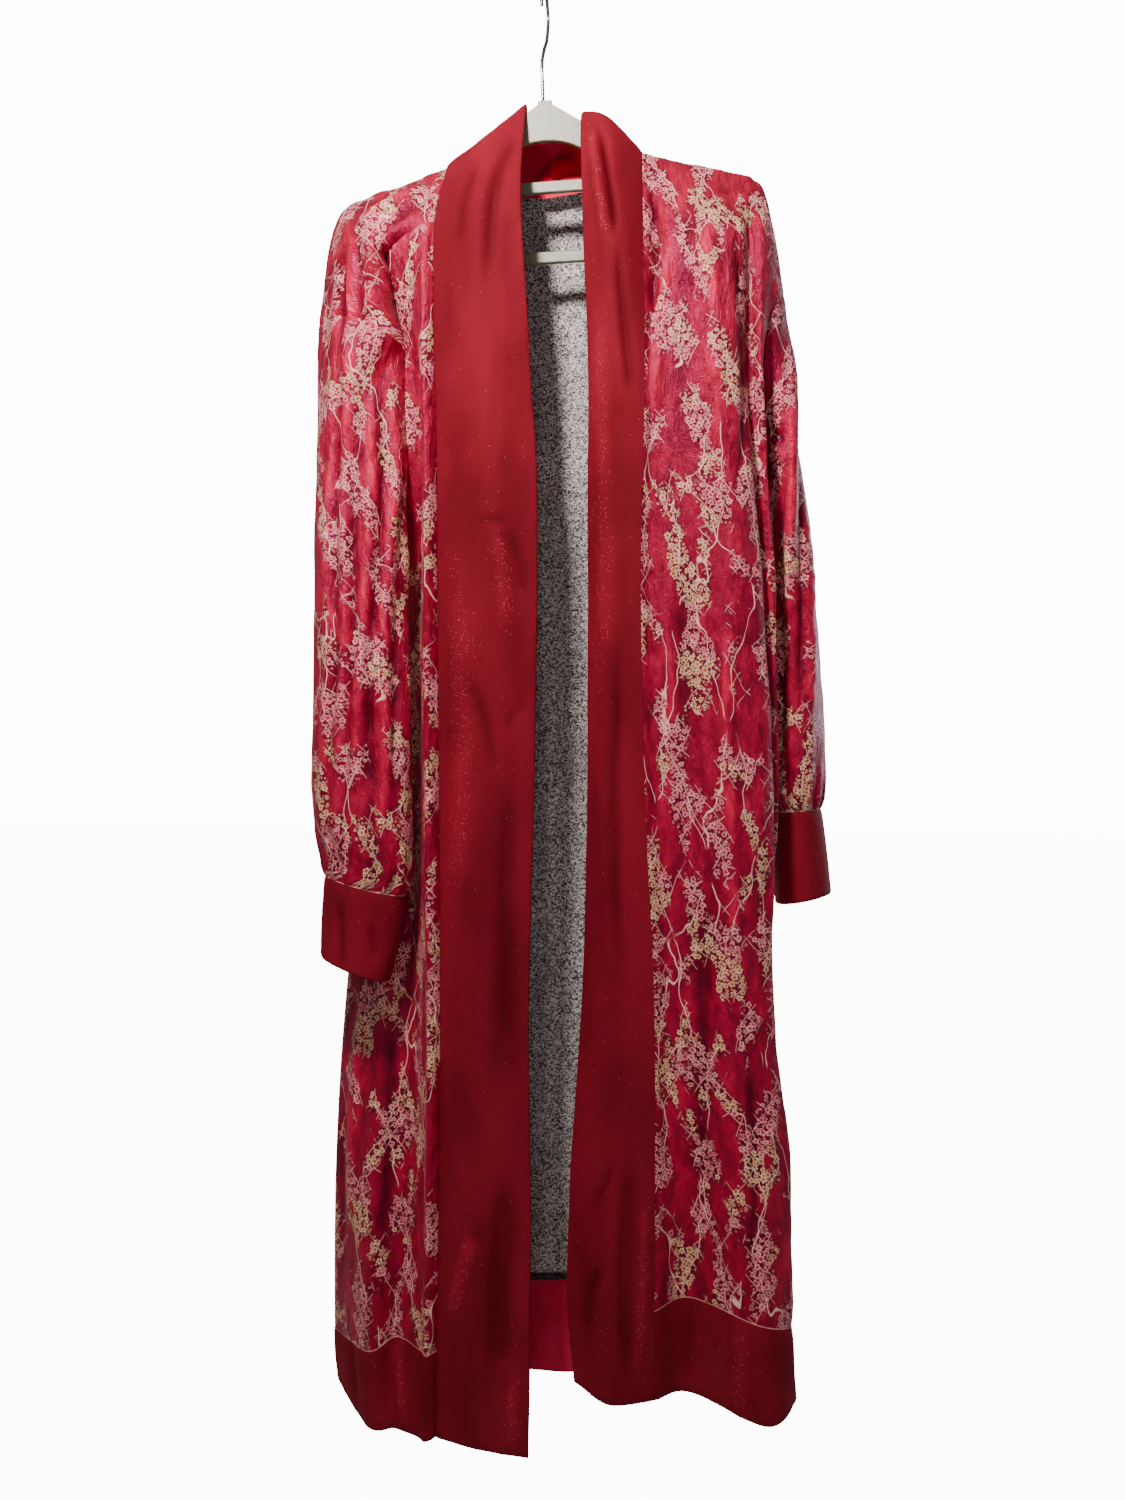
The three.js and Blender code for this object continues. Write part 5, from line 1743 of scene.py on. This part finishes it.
@dataclass
class Hanger:
    """A slim moulded hanger: a plate with two arms, two bars and a wire hook, in millimetres."""

    arm_thickness: float = 5
    bar_height: float = 11
    bar_thickness: float = 5
    upper_bar_z: float = -194
    upper_bar_end: float = 98
    lower_bar_z: float = -263
    post_inner: float = 184
    post_outer: float = 196
    arm_tip_under: float = -216
    neck_top: float = -109
    neck_half_width: float = 7
    wire_diameter: float = 3.6
    wire_steps: int = 90
    hook_radius: float = 19
    joint_gap: float = 0.3
    edge_round: float = 1.1

    def moulding(
        self, name: str, outline: list[tuple[float, float]], depth: float
    ) -> bpy.types.Object:
        """Makes a flat moulded part with softly rounded edges.

        Args:
            name: The object's name, which starts with its solid's.
            outline: Its outline in x and z.
            depth: Its thickness along y.

        Returns:
            The object.
        """
        mesh = bpy.data.meshes.new(name)
        n = len(outline)
        points = [(x * MM, y * MM, z * MM) for y in (-depth / 2, depth / 2) for x, z in outline]
        faces = [list(range(n)), [2 * n - 1 - k for k in range(n)]]
        faces += [[(k + 1) % n, k, n + k, n + (k + 1) % n] for k in range(n)]
        mesh.from_pydata(points, [], faces)
        made = linked(name, mesh)
        rounding = made.modifiers.new("rounded_edges", "BEVEL")
        rounding.width = self.edge_round * MM
        rounding.segments = 3
        rounding.limit_method = "ANGLE"
        rounding.angle_limit = math.radians(40)
        return made

    def plate_outline(self) -> list[tuple[float, float]]:
        """Draws the plate and its arms, with a rounded underside and neck.

        Returns:
            The outline in x and z.
        """
        end = self.upper_bar_end
        under = [(0, -148.9), (9, -149.3), (18, -150.9), (27, -154), (36, -158.4)]
        under += [(end, -184), (end, -201), (150, -207)]
        under += [(176, self.arm_tip_under), (204, self.arm_tip_under)]
        right = under[1:] + ARM_TOP[::-1] + [(self.neck_half_width, self.neck_top)]
        left = [(-x, z) for x, z in reversed(right)]
        return [under[0]] + right + left

    def build(self) -> None:
        """Makes the hanger's parts."""
        plastic = MouldedPolystyrene().build()
        half = self.bar_height / 2
        end = self.upper_bar_end - self.joint_gap
        upper = [(-end, -half), (end, -half), (end, half), (-end, half)]
        upper = [(x, self.upper_bar_z + z) for x, z in upper]
        post_top = self.arm_tip_under - self.joint_gap
        low = self.lower_bar_z
        post = [
            (self.post_outer - half, low - half),
            (self.post_outer, low),
            (self.post_outer, post_top),
            (self.post_inner, post_top),
            (self.post_inner, low + 2 * half),
            (self.post_inner - half, low + half),
        ]
        lower = post + [(-x, z) for x, z in reversed(post)]
        for node, outline, depth in (
            ("hanger_yoke", self.plate_outline(), self.arm_thickness),
            ("hanger_bar_upper", upper, self.bar_thickness),
            ("hanger_bar_lower", lower, self.bar_thickness),
        ):
            made = self.moulding(node + "_moulding", outline, depth)
            made.data.materials.append(plastic)
            self.state(made, node)
        self.hook()

    def state(self, made: bpy.types.Object, node: str) -> None:
        """Says what a part of the hanger is.

        Args:
            made: Its object.
            node: The solid it stands for.
        """
        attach(made, "root")
        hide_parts(node)
        LOG.info("%s", made.name)

    def hook(self) -> None:
        """Bends the wire hook up from the neck and over its half circle."""
        turn = self.hook_radius + self.wire_diameter / 2
        path = [
            (-2, 0, self.neck_top + self.joint_gap), (-2.5, 0, -90), (-3, 0, -72),
            (-1.5, 5, -55), (-0.5, 15, -40), (0, turn, -self.hook_radius),
        ]
        for degrees in range(30, 181, 30):
            a = math.radians(degrees)
            path.append((0, turn * math.cos(a), -self.hook_radius + turn * math.sin(a)))
        path.append((0, -turn * 0.93, -self.hook_radius - 9))
        places = np.linspace(0, len(path) - 1, self.wire_steps)
        route = along(np.array(path, float), places) * MM
        curve = bpy.data.curves.new("hanger_hook_wire", "CURVE")
        curve.dimensions = "3D"
        curve.bevel_depth = self.wire_diameter / 2 * MM
        curve.bevel_resolution = 6
        curve.use_fill_caps = True
        spline = curve.splines.new("POLY")
        spline.points.add(len(route) - 1)
        for point, place in zip(spline.points, route):
            point.co = (*place, 1)
        curve.materials.append(PlatedWire().build())
        self.state(linked("hanger_hook_wire", curve), "hanger_hook")


@dataclass(frozen=True)
class Studio:
    """A plain pale room, one soft key from the upper left front, and the camera, in metres."""

    camera_at: Spot = (0.17082, -1.09185, -0.745)
    camera_turn: float = 8
    lens: float = 27.05
    floor_z: float = -1.72
    floor_half: float = 12
    white: str = "#FFFFFF"
    room_light: float = 0.2
    backdrop_light: float = 14.0

    def light(
        self, name: str, at: Spot, aim: Spot, size: float, power: float, colour: str
    ) -> None:
        """Adds a square soft light.

        Args:
            name: Its name.
            at: Where it is, in metres.
            aim: What it looks at.
            size: Its side.
            power: Its watts.
            colour: Its colour.
        """
        lamp = bpy.data.lights.new(name, "AREA")
        lamp.size = size
        lamp.energy = power
        lamp.color = linear(colour)[:3]
        made = linked(name, lamp)
        made.location = at
        made.rotation_euler = (Vector(aim) - Vector(at)).to_track_quat("-Z", "Y").to_euler()

    def room(self) -> None:
        """Makes the world, which looks white and lights the robe only a little."""
        world = bpy.data.worlds.new("pale_studio")
        world.use_nodes = True
        backdrop = world.node_tree.nodes["Background"]
        backdrop.inputs["Color"].default_value = linear(self.white)
        seen = add(world.node_tree, "LightPath", out="Is Camera Ray")
        strength = add(
            world.node_tree, "MapRange", seen, 0.0, 1.0, self.room_light, self.backdrop_light
        )
        world.node_tree.links.new(strength, backdrop.inputs["Strength"])
        bpy.context.scene.world = world

    def floor(self) -> None:
        """Makes the floor of glowing white paper."""
        mesh = bpy.data.meshes.new("floor")
        side = self.floor_half
        corners = [(-side, -side), (side, -side), (side, side), (-side, side)]
        mesh.from_pydata([(x, y, self.floor_z) for x, y in corners], [], [[0, 1, 2, 3]])
        floor = linked("floor", mesh)
        mesh.materials.append(MattPaper().build())
        # The glowing paper only shows to the camera and does not light the robe from below
        floor.visible_diffuse = False
        floor.visible_glossy = False

    def camera(self) -> None:
        """Makes the camera, where the photograph was taken from."""
        camera = bpy.data.cameras.new("camera")
        camera.sensor_width = 36
        camera.lens = self.lens
        made = linked("camera", camera)
        made.location = self.camera_at
        made.rotation_euler = (math.radians(90), 0, math.radians(self.camera_turn))
        bpy.context.scene.camera = made

    def build(self) -> None:
        """Makes the room, the floor, the lights and the camera."""
        self.room()
        self.floor()
        self.light("key", (-0.22, -0.78, 0.28), (0.0, 0.0, -0.35), 0.15, 24, "#FFF6EE")
        self.light("fill", (1.3, -1.6, -0.4), (0.1, 0.0, -0.8), 1.4, 3.5, "#F2F4FF")
        self.light("low_fill", (0.1, -1.2, -1.0), (0.0, 0.0, -1.05), 0.3, 1.6, "#FFF6EE")
        self.light("back", (-0.9, 1.9, 0.5), (0.0, 0.0, -0.7), 1.2, 46, "#FFF9F4")
        self.light("back_fill", (1.7, 1.3, -0.3), (0.0, 0.0, -0.8), 1.2, 20, "#F2F4FF")
        self.camera()


def main() -> None:
    """Builds the studio, the hanger and the robe."""
    logging.basicConfig(level=logging.INFO, format="%(name)s %(message)s")
    Studio().build()
    Hanger().build()
    Robe().build()


if __name__ == "__main__":
    main()
